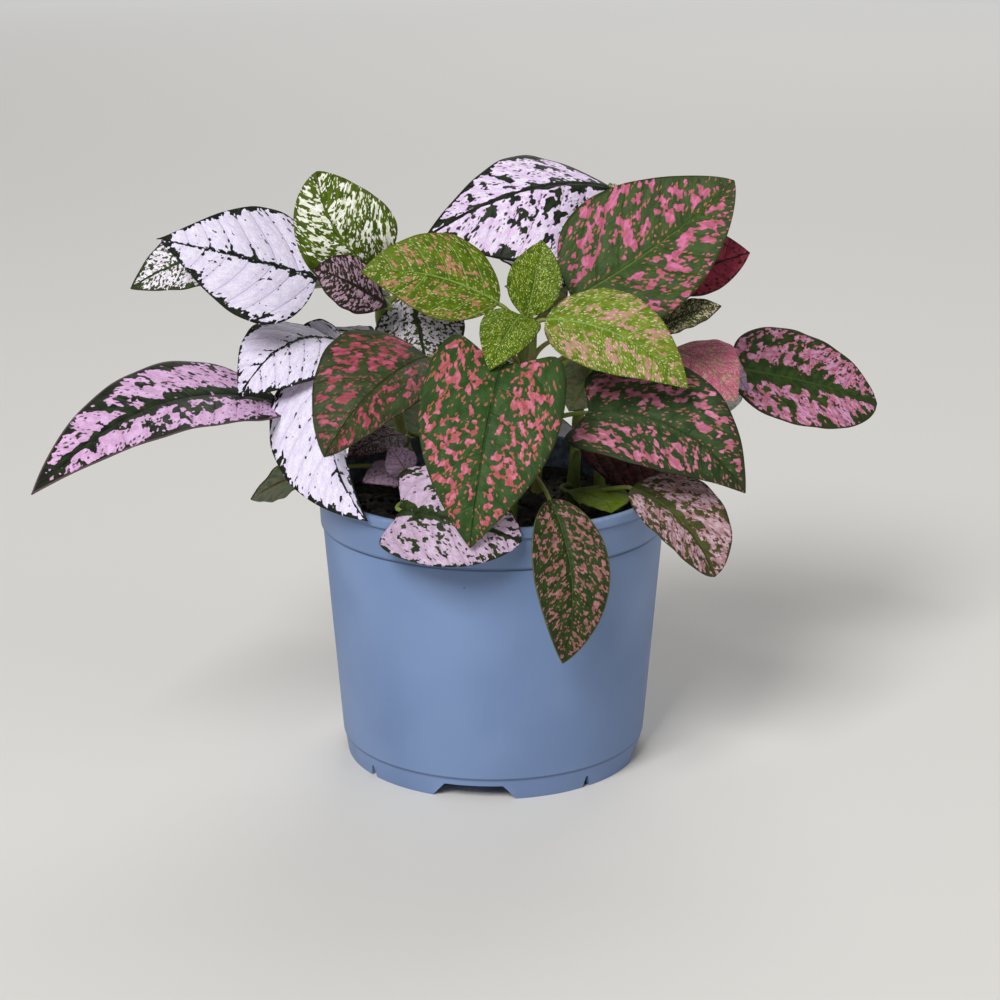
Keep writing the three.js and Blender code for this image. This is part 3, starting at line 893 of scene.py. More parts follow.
recipe(
    "red_veined", ((46, 68, 24), (60, 84, 34)), ((206, 112, 156), (168, 80, 104)), cover=0.38,
    wide=2.2, long=2.6, jag=0.14, flecks=(DOTS, (170, 104, 92)), midrib=(80, 108, 46), rib_zone=3.2,
    rim_zone=0.8, clump=0.4,
)
recipe(
    "red_dark", ((46, 58, 32), (60, 76, 42)), ((178, 88, 116), (138, 60, 68)), cover=0.42, wide=2.2,
    long=2.9, jag=0.14, flecks=(DOTS, (132, 82, 72)), midrib=(56, 50, 34), rib_zone=3.0,
    rim_zone=1.6,
)
recipe(
    "red_grey", ((42, 64, 34), (60, 80, 46)), ((206, 130, 162), (166, 92, 110)), cover=0.4,
    wide=2.1, long=2.5, jag=0.13, flecks=(DOTS, (160, 102, 94)), midrib=(54, 70, 40), rib_zone=4.5,
    rim_zone=1.8, dusk=0.7, clump=0.4,
)
recipe(
    "red_flecked", ((34, 52, 18), (48, 66, 28)), ((160, 114, 120), (128, 82, 76)), cover=0.4,
    wide=1.8, long=1.9, jag=0.26, flecks=(DOTS, (140, 108, 92)), midrib=(62, 82, 40),
    rim=(98, 104, 72), rib_zone=2.0, rim_zone=0.9,
)
recipe(
    "wine", ((62, 32, 26), (76, 44, 34)), ((160, 60, 86), (136, 50, 64)), cover=0.8, jag=0.3,
    soft=0.03, midrib=(58, 36, 28), rib_zone=1.5, rim_zone=0.4,
)
# painted shade: a nearly black wine, the look of a low red leaf in deep shade
recipe(
    "deep_wine", ((40, 20, 18), (50, 28, 24)), ((96, 40, 48), (78, 32, 34)), cover=0.6,
    rib_zone=1.5,
)
recipe(
    "striped", ((54, 60, 30), (74, 86, 44)), ((184, 176, 146), (160, 148, 122)), cover=0.42,
    wide=1.0, long=1.7, jag=0.3, rib_zone=1.4, rim_zone=0.6, vein_line=0.5,
)
recipe(
    "plain_green", ((84, 104, 14), (104, 124, 28)), ((120, 138, 44), (96, 112, 26)), cover=0.25,
    wide=3.0, long=2.6, soft=0.06, midrib=(98, 118, 50), dusk=0.3,
)
recipe(
    "pink_flecked", ((62, 68, 32), (80, 84, 46)), ((198, 172, 184), (158, 112, 118)), cover=0.68,
    wide=2.2, jag=0.36, flecks=(SPECKS, (58, 46, 40)), midrib=(86, 102, 46), rib_zone=3.6,
    rim_zone=0.8, clump=0.6, long=2.0,
)
recipe(
    "pink_splashed", ((40, 60, 24), (60, 82, 38)), ((212, 156, 196), (184, 106, 128)), cover=0.6,
    wide=2.4, long=2.3, jag=0.3, flecks=(SPECKS, (52, 54, 42)), midrib=(76, 98, 50), rib_zone=4.2,
    rim_zone=1.0, clump=1.0, rim=(66, 40, 38),
)
recipe(
    "rose", ((176, 152, 122), (188, 162, 130)), ((208, 114, 148), (188, 100, 124)), cover=0.74,
    long=2.1, soft=0.03, rib_zone=0.8, rim_zone=0.5, flecks=(PALE_DOTS, (206, 190, 164)), jag=0.34,
)
recipe(
    "white_flecked", ((56, 76, 2), (86, 106, 20)), ((244, 242, 244), (212, 216, 190)), cover=0.45,
    wide=1.4, long=2.4, jag=0.26, clump=0.3, slant=0.8, flecks=(SPECKS, (232, 234, 216)),
    midrib=(94, 120, 40), rib_zone=1.0, rim_zone=1.6, dusk=0.3,
)
recipe(
    "white", INK_GREEN, ((234, 230, 250), (222, 212, 242)), cover=1.08, wide=1.4, long=1.5, jag=0.4,
    flecks=(FEW_DOTS, (48, 56, 44)), rib_zone=1.6, rim_zone=1.3, vein_line=0.7, vein_share=1.0,
    veins=0.06,
)
recipe(
    "white_streaked", ((44, 58, 26), (72, 88, 48)), ((248, 244, 252), (224, 216, 232)), cover=0.62,
    wide=1.2, long=1.7, jag=0.3, flecks=(SPECKS, (60, 70, 42)), rib_zone=1.8, rim_zone=1.0,
)
recipe(
    "mauve_striped", ((38, 34, 28), (54, 50, 40)), ((184, 154, 174), (154, 124, 142)), cover=0.5,
    wide=1.1, long=2.6, jag=0.28, rib_zone=1.6, rim_zone=0.8, vein_line=0.6,
)
recipe(
    "white_striped", ((40, 52, 26), (72, 84, 46)), ((238, 232, 242), (210, 200, 214)), cover=0.62,
    wide=1.2, long=1.8, jag=0.3, flecks=(SPECKS, (60, 70, 44)), rib_zone=1.6, rim_zone=1.0,
)
recipe(
    "white_blotched", ((18, 28, 20), (40, 54, 32)), ((238, 228, 250), (224, 196, 238)), cover=0.7,
    wide=2.6, long=2.3, jag=0.26, clump=0.5, flecks=(SPECKS, (40, 50, 36)), rib_zone=1.4,
    rim_zone=1.6,
)
recipe(
    "pink_banded", ((20, 30, 20), (44, 60, 32)), ((226, 186, 230), (206, 160, 204)), cover=0.76,
    wide=2.3, long=2.2, jag=0.3, clump=0.9, flecks=(SPECKS, (38, 42, 34)), rib_zone=3.2,
    rim_zone=0.9, rim=(110, 86, 100),
)
recipe(
    "lilac", ((30, 42, 22), (52, 68, 34)), ((204, 182, 210), (184, 158, 184)), cover=0.76, wide=2.1,
    long=1.9, jag=0.24, clump=0.6, flecks=(SPOTS, (42, 46, 36)), rib_zone=3.2, rim_zone=0.7,
)
# painted shade: greyed, dimmed mauve tones, the look of the small leaves that sit in shade
recipe(
    "mauve", ((88, 76, 82), (104, 92, 98)), ((168, 142, 168), (148, 120, 146)), cover=0.9, wide=2.0,
    long=2.1, soft=0.03, rib_zone=0.6, rim_zone=0.5,
)
# painted shade: a darker copy of the white striped leaves, for leaves that sit in shade
recipe(
    "dark_striped", ((36, 24, 24), (52, 36, 34)), ((150, 116, 128), (126, 92, 102)), cover=0.42,
    wide=1.0, long=1.7, jag=0.2, rib_zone=1.0, rim_zone=0.6, vein_line=0.4,
)
print("recipes:", ", ".join(RECIPES))

# %% [markdown]
# The finish lays these over each other: the ground, mottled between its two tones; the splashes;
# the flecks; a thin midrib and a thin rim of their own tint; and over it all the faint pale grain
# that these leaves have. Painted shade darkens the colour slightly along the veins, and dulls the
# splashes next to them, where the quilting dips.

# %% Leaf finish
def leaf_finish(name):
    row = RECIPES[name]
    material, tree, paint = new_material(name.replace("_", " ") + " leaf", 0.2)
    vein, edge, side = use_group(tree, vein_place, "Vein", "Edge", "Side")
    height, line, midrib = use_group(tree, relief, "Height", "Line", "Midrib")
    ground = blend(ramp(noise(vein, 0.28, 3.0, 0.6), 0.35, 0.65), *row["ground"])
    ground = blend(ramp(edge, 0.3, 4.5, row["dusk"], 0.0), ground, row["dusk tint"])
    splash, heart = use_group(tree, splashes, "Splash", "Heart", **row["pattern"])
    tone = ramp(noise(vein, 0.5, 2.0), 0.4, 0.6, 0.0, 0.8)
    # painted shade: near a side vein the splash leans to its dull tone, where the quilting dips
    core_and_vein_shade = heart * (1.0 - tone) * ramp(side, 0.2, 2.2, 0.5, 1.0)
    bright, dull = row["splash"]
    colour = blend(splash, ground, blend(core_and_vein_shade, dull, bright))
    if row["flecks"]:
        pattern, fleck_tint = row["flecks"]
        (fleck,) = use_group(tree, flecks, "Fleck", **pattern)
        colour = blend(fleck * 0.85, colour, tint(*fleck_tint))
    if row["midrib"]:
        lit = calc("MAXIMUM", midrib * 0.75, line * row["pale veins"])
        colour = blend(lit, colour, tint(*row["midrib"]))
    if row["rim"]:
        colour = blend(ramp(edge, 0.15, 0.55, 0.8, 0.0), colour, tint(*row["rim"]))
    grain, _ = cells(vein, 1.9)
    # painted shade along the veins, times the leaves' own pale grain
    vein_shade_and_grain = (1.0 - line * row["veins"]) * ramp(grain, 0.1, 0.55, 1.1, 0.9)
    plug(paint["Base Color"], vector_calc("MULTIPLY", colour, triple(vein_shade_and_grain, vein_shade_and_grain, vein_shade_and_grain)))
    plug(paint["Roughness"], ramp(grain, 0.0, 0.6, 0.46, 0.58))
    add_bump(paint, height, 0.3)
    return material


FINISHES = {name: leaf_finish(name) for name in RECIPES}
print("leaf finishes:", len(FINISHES))

# %% [markdown]
# Underneath, a blade is paler and duller. The colours of its upper face show through faintly, and
# its veins stand out as ridges, so the relief is fed in the other way up. The stalks are olive
# green with a breath of red, and finely ribbed along their length.

# %% Underside and stalk finishes
RIDGE_TINT = tint(150, 156, 112)
SHOWS_THROUGH = {"wide": 2.4, "long": 5.5, "rib_zone": 1.0}
STALK_TINTS = {"olive": tint(122, 140, 66), "red": tint(124, 104, 66), "rib": tint(98, 116, 48)}


def underside_finish(name, ground, splash, cover):
    material, tree, paint = new_material(name, 0.35)
    (vein,) = use_group(tree, vein_place, "Vein")
    height, line, midrib = use_group(tree, relief, "Height", "Line", "Midrib", pucker=0.6)
    (shine,) = use_group(tree, splashes, "Splash", cover=cover, **SHOWS_THROUGH)
    base = blend(ramp(noise(vein, 0.3, 3.0), 0.35, 0.65), *ground)
    ridges = calc("MAXIMUM", line * 0.4, midrib * 0.7)
    plug(paint["Base Color"], blend(ridges, blend(shine * 0.6, base, splash), RIDGE_TINT))
    plug(paint["Roughness"], ramp(line, 0.0, 1.0, 0.6, 0.5))
    add_bump(paint, height * -1.0, 0.3)
    return material


def stalk_finish():
    material, tree, paint = new_material("olive stalk", 0.4)
    place = object_place(tree)
    x, y, z = split(place)
    flushed = ramp(noise(place, 0.12, 3.0), 0.42, 0.7)
    ribs = noise(triple(x, y, z * 0.15), 3.0, 2.0)
    colour = blend(flushed, STALK_TINTS["olive"], STALK_TINTS["red"])
    plug(paint["Base Color"], blend(ramp(ribs, 0.4, 0.6, 0.0, 0.5), colour, STALK_TINTS["rib"]))
    plug(paint["Roughness"], ramp(ribs, 0.3, 0.7, 0.42, 0.6))
    add_bump(paint, ribs, 0.15)
    return material


GREEN_BENEATH = underside_finish(
    "grey green underside", (tint(96, 112, 74), tint(118, 132, 92)), tint(150, 128, 112), 0.45
)
PALE_BENEATH = underside_finish(
    "pale mauve underside", (tint(140, 144, 118), tint(158, 158, 136)), tint(206, 196, 206), 0.92
)
PALE_LEAVES = ("white", "mauve", "lilac", "pink")
STALK = stalk_finish()
print("other finishes:", ", ".join(made.name for made in (GREEN_BENEATH, PALE_BENEATH, STALK)))

# %% [markdown]
# ## The seedlings
#
# A stem has a foot, where it stands in the soil, and the points that it bends through. A leaf row
# gives its finish, how far up the stem its stalk leaves (0 at the soil, 1 at the tip), where the
# blade begins and where its tip is, its width, and the way its upper face looks: degrees round
# from the front towards +X, and degrees up. After that come *arch*, how far the midrib bows
# towards the upper face, *sweep*, how far it bows to its right, *fold*, how far the halves rise,
# *belly*, where it is widest, *point*, how sharp the tip is, *lobe*, how far a heart-shaped base
# reaches back, *lean*, how much wider the right half is, and *lift*, how far the stalk runs along
# the stem. They are the solids' own values. A row names only what differs from the usual form.

# %% Leaf rows
def leaf(finish, where, base, tip, wide, face, **form):
    row = {"finish": finish, "where": where, "base": base, "tip": tip, "wide": wide, "face": face}
    return {**USUAL_FORM, **row, **form}


def grow(name, foot, line, *leaves):
    PLANTS["leafy_stem_" + name] = {"foot": foot, "line": line, "leaves": leaves}


PLANTS = {}
USUAL_FORM = {
    "arch": 0,
    "sweep": 0,
    "fold": (0, 0),
    "belly": 0.42,
    "point": 0.95,
    "lobe": 0,
    "lean": 0,
    "lift": 0.35,
}

grow(
    "red_front", (6, -15), [(9, -18, 122), (10, -20, 152)],
    leaf("lime_speckled", 0.97, (11, -19, 155), (16, -13, 179), 18, (5, 25), arch=2, fold=(12, 12),
        belly=0.45),
    leaf("lime_speckled", 0.97, (9, -25, 157), (-1, -47, 144), 19, (-10, 30), arch=3, fold=(8, 8),
        belly=0.35),
    leaf("lime_coral", 0.88, (2, -21, 160), (-42, -25, 171), 30, (-8, 38), arch=3, sweep=3,
        fold=(5, 5)),
    leaf("lime_pink", 0.88, (17, -22, 155), (62, -38, 136), 30, (5, 38), arch=7, sweep=-3,
        belly=0.37),
    leaf("red_splashed", 0.66, (3, -43, 145), (-7, -70, 93), 45, (7, 12), arch=6, sweep=2,
        fold=(8, -4), lobe=12, belly=0.31, point=0.97),
    leaf("red_dark", 0.5, (-21, -24, 143), (-53, -51, 117), 40, (-34, 31), arch=8, sweep=-1,
        fold=(5, 18), belly=0.37, point=0.84, lean=0.1),
    leaf("red_grey", 0.35, (31, -25, 125), (81, -40, 102), 44, (5, 50), arch=9, sweep=-4,
        fold=(8, 8), lobe=9, belly=0.34),
    leaf("red_flecked", 0.08, (18, -54, 104), (22, -70, 55), 25, (8, 15), arch=6, sweep=-4,
        fold=(4, 14), point=0.85, lean=0.02),
    leaf("plain_green", 0.2, (-4, -2, 126), (-22, 16, 118), 26, (-100, 60), arch=4),
    leaf("plain_green", 0.6, (34, -8, 140), (25, -16, 123), 17, (170, -20), arch=3),
)
grow(
    "white_left", (-27, -5), [(-33, -3, 125), (-39, -2, 166)],
    leaf("white_flecked", 0.97, (-41, -9, 170), (-57, -4, 200), 35, (4, 22), arch=5, sweep=-4,
        fold=(10, 34), belly=0.32, point=0.8, lean=0.17),
    leaf("white", 0.93, (-58, 2, 164), (-109, -10, 179), 41, (-10, 35), arch=2, belly=0.34,
        point=1.2, lean=-0.05),
    leaf("white_streaked", 0.82, (-82, 18, 172), (-121, 8, 159), 25, (-20, 45), arch=4, belly=0.45),
    leaf("mauve_striped", 0.88, (-34, -17, 158), (-57, -25, 172), 22, (-20, 50), arch=2,
        belly=0.55),
    leaf("white_striped", 0.8, (-27, 0, 160), (-21, -14, 134), 30, (0, 25), arch=3, belly=0.5),
    leaf("pink_banded", 0.4, (-71, 5, 120), (-142, -69, 110), 36, (-15, 45), arch=13, sweep=6,
        fold=(6, 6), belly=0.34, lean=-0.04),
    leaf("white", 0.62, (-53, 14, 140), (-84, -9, 126), 35, (-30, 40), arch=10, belly=0.5,
        lean=-0.12),
    leaf("white", 0.55, (-52, -12, 140), (-40, -48, 95), 44, (-35, 11), arch=3, sweep=6,
        fold=(36, 8), belly=0.29, point=1.05, lean=0.1),
    leaf("dark_striped", 0.08, (-57, -8, 101), (-80, -20, 94), 26, (-130, 40), arch=2, belly=0.5),
    leaf("dark_striped", 0.25, (-29, -14, 114), (-47, -30, 111), 16, (-20, 50), arch=3, belly=0.45),
    leaf("white", 0.45, (-44, 26, 140), (-70, 46, 128), 30, (-140, 50), arch=5),
    leaf("white", 0.5, (-48, 17, 135), (-71, 13, 137), 21, (-15, 35), arch=3, belly=0.5),
)
grow(
    "white_low", (-12, -31), [(-17, -33, 101), (-21, -35, 108)],
    leaf("lilac", 0.4, (-29, -52, 100), (9, -63, 93), 33, (0, 30), arch=7, lobe=9, belly=0.38,
        point=0.7),
    leaf("mauve", 0.8, (-29, -30, 104), (-42, -38, 105), 12, (-20, 50), arch=3, belly=0.45),
    leaf("mauve", 0.98, (-27, -36, 107), (-33, -37, 117), 11, (-20, 40), arch=2, belly=0.45),
)
grow(
    "white_back", (15, 19), [(26, 25, 135), (39, 32, 184)],
    leaf("white_blotched", 0.97, (40, 34, 189), (-23, 13, 175), 48, (-10, 35), arch=14,
        fold=(-12, -26), belly=0.42, lean=-0.15),
    leaf("white", 0.9, (46, 37, 182), (80, 60, 166), 36, (130, 45), arch=4),
    leaf("white", 0.75, (38, 38, 170), (38, 69, 142), 38, (180, 40), arch=6),
    leaf("white_flecked", 0.99, (41, 35, 186), (50, 46, 186), 13, (120, 60), arch=1, belly=0.45),
    leaf("white_striped", 0.55, (20, 36, 152), (0, 62, 160), 30, (-160, 55), arch=5),
    leaf("white", 0.3, (6, 32, 128), (-20, 46, 118), 28, (-160, 55), arch=5),
)
grow(
    "red_right", (27, -3), [(29, 0, 125), (29, 1, 152)],
    leaf("red_veined", 0.97, (26, -5, 158), (79, 3, 196), 49, (6, 34), arch=-1, sweep=2,
        fold=(0, 10), belly=0.34, point=0.8, lean=-0.08),
    leaf("wine", 0.88, (54, 12, 158), (86, 14, 170), 24, (50, 35), arch=3, belly=0.5, lean=-0.25),
    leaf("striped", 0.75, (52, -2, 146), (75, -6, 156), 14, (0, 60), arch=2, belly=0.5),
    leaf("deep_wine", 0.15, (29, -5, 107), (62, -12, 98), 26, (5, 60), arch=3, belly=0.5),
    leaf("plain_green", 0.08, (24, -17, 96), (38, -42, 96), 17, (0, 75), arch=0, sweep=-4,
        belly=0.5, point=1.1, lean=-0.2),
    leaf("pink_flecked", 0.02, (45, -34, 102), (71, -50, 77), 29, (31, 26), arch=5, sweep=-2,
        fold=(6, 15), belly=0.46, point=0.65, lean=-0.1, lift=0.08),
    leaf("mauve_striped", 0.45, (36, 7, 134), (52, 20, 140), 20, (140, 60), arch=3),
)
grow(
    "pink_right", (37, 14), [(56, 22, 113), (78, 31, 122)],
    leaf("pink_splashed", 0.97, (84, 37, 125), (139, 62, 106), 38, (8, 40), arch=3, lobe=2,
        belly=0.42, point=0.62, lean=-0.05),
    leaf("rose", 0.8, (60, 20, 135), (82, 6, 121), 26, (10, 50), arch=6, belly=0.5),
    leaf("pink_splashed", 0.6, (62, 34, 120), (84, 68, 100), 32, (140, 45), arch=6),
    leaf("pink_splashed", 0.25, (50, 26, 106), (64, 57, 80), 26, (140, 40), arch=7),
    leaf("mauve", 0.9, (75, 24, 134), (88, 28, 119), 9, (30, 20), arch=2),
)
grow(
    "red_back", (-18, 25), [(-24, 31, 125), (-29, 35, 156)],
    leaf("lime_speckled", 0.98, (-30, 36, 158), (-40, 30, 172), 14, (-40, 40), arch=1,
        fold=(10, 10), belly=0.45),
    leaf("lime_speckled", 0.98, (-28, 38, 158), (-22, 50, 170), 15, (150, 40), arch=1,
        fold=(10, 10), belly=0.45),
    leaf("red_splashed", 0.8, (-37, 40, 150), (-78, 56, 146), 34, (-130, 50), arch=5, belly=0.4),
    leaf("red_splashed", 0.45, (-40, 28, 128), (-82, 36, 114), 30, (-100, 50), arch=5, belly=0.4),
    leaf("red_splashed", 0.35, (-26, 46, 122), (-36, 69, 84), 32, (-160, 30), arch=5, belly=0.4),
    leaf("red_splashed", 0.1, (-36, 12, 110), (-56, 0, 104), 24, (-70, 60), arch=4),
)
grow(
    "pink_back", (11, 41), [(13, 45, 115), (14, 47, 140)],
    leaf("lime_coral", 0.98, (13, 49, 141), (4, 58, 150), 15, (-150, 50), arch=1, fold=(10, 10),
        belly=0.45),
    leaf("lime_coral", 0.98, (16, 48, 141), (26, 50, 152), 15, (120, 50), arch=1, fold=(10, 10),
        belly=0.45),
    leaf("pink_splashed", 0.7, (22, 52, 132), (58, 68, 120), 32, (150, 50), arch=5, belly=0.4),
    leaf("pink_splashed", 0.55, (4, 52, 126), (-10, 70, 104), 30, (-170, 40), arch=5),
    leaf("pink_splashed", 0.12, (16, 54, 106), (20, 68, 58), 27, (175, 15), arch=7),
)
print("leaves:", sum(len(plant["leaves"]) for plant in PLANTS.values()))

# %% [markdown]
# ## One blade
#
# All blades are the same sheet, laid in different ways. So a grid is added once: it runs from -1 to
# 1 across and from 0 to 1 along. Every leaf gets a copy of it, and its points are laid by the same
# formula that made the solids: first the midrib's bow, then the outline's half width at each step,
# then the halves' fold and the ripple of the margins. Bending fifty leaves by hand would give less
# likeness, because each one has to lie just where the photograph shows it.

# %% Blade master
GRID = {"across": 32, "along": 60}


def blade_master():
    select_only()
    bpy.ops.mesh.primitive_grid_add(
        x_subdivisions=GRID["across"], y_subdivisions=GRID["along"], size=2, location=(0, 0, 0)
    )
    master = added("blade_master")
    with edit_mode():
        bpy.ops.transform.resize(value=(1, 0.5, 1), center_override=(0, -1, 0))
        bpy.ops.transform.translate(value=(0, 1, 0))
    return master


blade_grid = blade_master()
grid_uv = np.array([point.co[:2] for point in blade_grid.data.vertices])
print("blade master:", grid_uv.min(axis=0), "to", grid_uv.max(axis=0))

# %% [markdown]
# The midrib helper gives the point on the midrib at each share of its length, and its own axes
# there: along, right, and up out of the upper face.

# %% Midrib and outline
LEAST_HALF = 0.1
MIDDLING = {"long": 60, "wide": 40, "follow": 0.8}


def unit(vectors):
    return vectors / np.linalg.norm(vectors, axis=-1, keepdims=True)


def smooth(value, low, high):
    share = np.clip((value - low) / (high - low), 0, 1)
    return share * share * (3 - 2 * share)


def blade_frame(row):
    """Where the midrib starts, its chord and bow, and the blade's right hand side."""
    base = np.array(row["base"], float)
    chord = np.array(row["tip"], float) - base
    along = unit(chord)
    around, high = (math.radians(angle) for angle in row["face"])
    looks = np.array(
        [math.sin(around) * math.cos(high), -math.cos(around) * math.cos(high), math.sin(high)]
    )
    normal = unit(looks - along * (looks @ along))
    right = np.cross(along, normal)
    return base, chord, normal * row["arch"] + right * row["sweep"], right


def midrib_at(row, share):
    base, chord, bow, right = blade_frame(row)
    share = np.asarray(share, float)[..., None]
    points = base + chord * share + bow * 4 * share * (1 - share)
    along = unit(chord + bow * 4 * (1 - 2 * share))
    right = unit(right - along * (along @ right)[..., None])
    return points, along, right, np.cross(right, along)


def half_width(row, share):
    belly, point = row["belly"], row["point"]
    blunt = point * belly / (1 - belly)
    share = np.clip(share, 0, 1)
    outline = share**blunt * (1 - share) ** point / (belly**blunt * (1 - belly) ** point)
    return np.maximum(row["wide"] / 2 * outline, LEAST_HALF)


def leaf_size(row):
    """How large the leaf is against one of middling size."""
    length = math.dist(row["base"], row["tip"])
    middle = (length / MIDDLING["long"] + row["wide"] / MIDDLING["wide"]) / 2
    return middle ** MIDDLING["follow"]


print("a small leaf:", round(leaf_size(PLANTS["leafy_stem_white_low"]["leaves"][2]), 2))

# %% [markdown]
# A blade isn't smooth: it is quilted, sunk along its side veins and raised between them, and its
# midrib lies in a groove. The quilting uses the same vein coordinates as the finishes, so that the
# modelled veins and the painted ones meet. It fades out at the margin, which ripples: *wave* is the
# broad ripple, and *frill* the fine one, whose *turns* are radians from base to tip.

# %% Quilting
WAVE = {"height": 0.5, "turns": 9, "apart": 1.3}
FRILL = {"height": 0.28, "turns": 31, "apart": 2.1, "own": 1.7}
LOBE = {"at": 0.1, "curl": 0.9}
QUILT = {"height": 0.42, "round": 0.8, "level": 0.4, "groove": 0.5, "groove width": 0.9}
THINNING = 0.6


def ripple(row, half, across, share):
    """How far the folds of the margin lift each point."""
    side = np.sign(across)
    own = row["base"][0] + row["tip"][1]
    wave = np.sin(WAVE["turns"] * share + WAVE["apart"] * side + own)
    frill = np.sin(FRILL["turns"] * share + FRILL["apart"] * side + FRILL["own"] * own)
    lift = WAVE["height"] * wave + FRILL["height"] * frill * np.abs(across) ** 3
    return lift * across**2 * 2 * half / row["wide"]


def quilting(level, far, margin, full, share):
    """How far the quilting lifts each point, for a leaf of middling size."""
    pillow = np.abs(np.sin(np.pi * level / VEIN["gap"])) ** QUILT["round"] - QUILT["level"]
    fade = smooth(margin, 0, 4) * smooth(far, 0.3, 2.5) * smooth(share, 0, 0.15)
    rib = np.exp(-((far / QUILT["groove width"]) ** 2)) * (1 - share) ** THINNING
    groove = rib * smooth(full, 0.1, 0.4) * smooth(share, 0.06, 0.3)
    return QUILT["height"] * pillow * fade - QUILT["groove"] * groove


print("quilting:", QUILT["height"], "mm high,", VEIN["gap"], "mm from vein to vein")

# %% [markdown]
# Laying a blade puts all of this together. The two attributes are written at the same time, because
# they come from the same numbers. A Solidify modifier gives the sheet its thickness, and its second
# face takes the finish of the underside.

# %% Laying a blade
SHEET = {"thickness": 0.42 * MM, "offset": 0, "material_offset": 1, "use_even_offset": False}
LEAVES_APART = 31.0
TIP_SLOPE = 0.6


def lay_blade(row, number):
    """A copy of the master as this leaf's blade, with the attributes that its finish reads."""
    blade = copy_of(blade_grid, "blade")
    across, share = grid_uv.T
    side = np.sign(across)
    out = np.abs(across)
    points, along, right, up = midrib_at(row, share)
    half = half_width(row, share)
    reach = half * across * (1 + row["lean"] * side)
    fold = np.radians(np.where(across < 0, *row["fold"]))
    near = share / LOBE["at"]
    back = row["lobe"] * near * np.exp(1 - near) * out ** LOBE["curl"]

    size = leaf_size(row)
    length = math.dist(row["base"], row["tip"])
    far = np.abs(reach) / size
    level = share * length / size - VEIN["climb"] * far - VEIN["bend"] * far**2
    level += VEIN["shift"] * side
    to_side = np.abs(reach) / np.maximum(out, 0.01) * (1 - out)
    to_tip = TIP_SLOPE * length * (1 - share)
    margin = np.minimum(to_side, to_tip) / size
    rise = np.abs(reach) * np.sin(fold) + ripple(row, half, across, share)
    rise += size * quilting(level, far, margin, 2 * half / row["wide"], share)

    points = points + right * (reach * np.cos(fold))[:, None] + up * rise[:, None]
    points = points - along * back[:, None]
    blade.data.vertices.foreach_set("co", (points * MM).astype(np.float32).ravel())
    blade.data.update()
    which = np.full(len(share), LEAVES_APART * number)
    attributes = {
        "leaf_place": (reach / size, share * length / size, which),
        "leaf_reach": (out, share, margin),
    }
    for label, columns in attributes.items():
        layer = blade.data.attributes.new(label, "FLOAT_VECTOR", "POINT")
        layer.data.foreach_set("vector", np.stack(columns, axis=1).astype(np.float32).ravel())
    pale = row["finish"].startswith(PALE_LEAVES)
    blade.data.materials.append(FINISHES[row["finish"]])
    blade.data.materials.append(PALE_BENEATH if pale else GREEN_BENEATH)
    blade.data.shade_smooth()
    apply_modifier(blade, "SOLIDIFY", **SHEET)
    return blade


# %% [markdown]
# ## Stems and leaf stalks
#
# A stem is round, a little thicker at its foot, and swollen where a stalk leaves it. A stalk leaves
# along the stem, curves over, and runs on under the blade as the midrib's ridge, thinner and
# thinner. Both are drawn as a path with a thickness at each point, which is Blender's own way to
# make a bent tapering rod, and then made a mesh.

# %% Rods along a path
def rod(name, points, radii):
    """A round rod along these points, in millimetres, with a radius at each."""
    select_only()
    bpy.ops.curve.primitive_nurbs_path_add()
    path = added(name)
    path.data.dimensions = "3D"
    path.data.bevel_depth = 1 * MM
    path.data.bevel_resolution = 2
    path.data.use_fill_caps = True
    spline = path.data.splines[0]
    spline.type = "POLY"
    spline.points.add(len(points) - len(spline.points))
    for knot, point, radius in zip(spline.points, points, radii):
        knot.co = (*(np.array(point) * MM), 1)
        knot.radius = radius
        knot.tilt = 0
    select_only(path)
    bpy.ops.object.convert(target="MESH")
    made = added(name)
    made.data.shade_smooth()
    made.data.materials.clear()
    made.data.materials.append(STALK)
    return made


# %% [markdown]
# The path of a stem is a smooth curve through its points, and the path of a stalk is one cubic bend
# from the stem to the blade, followed by the midrib, a little beneath the blade's surface.

# %% Paths
STEM = {"root": 60, "clear": 86, "upright": 94, "steps": 60, "steps between": 30}
STALK_PATH = {"bend steps": 13, "ridge steps": 18, "under": 0.86, "sunk": 0.6}
STALK_RADII = {"root": 1.15, "blade": 0.72, "end": 0.22}


def at_shares(wanted, shares, points):
    """The points at these shares of the length, or the one point at one share."""
    return np.stack([np.interp(wanted, shares, column) for column in points.T], axis=-1)


def stem_line(plant):
    """A centripetal curve through the stem's points, at even steps, and its length."""
    knots = [(*plant["foot"], STEM[key]) for key in ("root", "clear", "upright")] + plant["line"]
    knots = np.array(knots, float)
    ends = [2 * knots[0] - knots[1], *knots, 2 * knots[-1] - knots[-2]]
    dense = []
    for a, b, c, d in zip(ends, ends[1:], ends[2:], ends[3:]):
        first, middle, last = (math.sqrt(math.dist(*pair)) for pair in ((a, b), (b, c), (c, d)))
        leave = ((b - a) / first - (c - a) / (first + middle) + (c - b) / middle) * middle
        arrive = ((c - b) / middle - (d - b) / (middle + last) + (d - c) / last) * middle
        for s in np.linspace(0, 1, STEM["steps between"], endpoint=False):
            dense.append(
                (2 * s**3 - 3 * s**2 + 1) * b
                + (s**3 - 2 * s**2 + s) * leave
                + (3 * s**2 - 2 * s**3) * c
                + (s**3 - s**2) * arrive
            )
    dense = np.array([*dense, knots[-1]])
    steps = np.linalg.norm(np.diff(dense, axis=0), axis=1)
    lengths = np.concatenate([[0], np.cumsum(steps)])
    even = np.linspace(0, 1, STEM["steps"] + 1)
    return at_shares(even, lengths / lengths[-1], dense), lengths[-1]


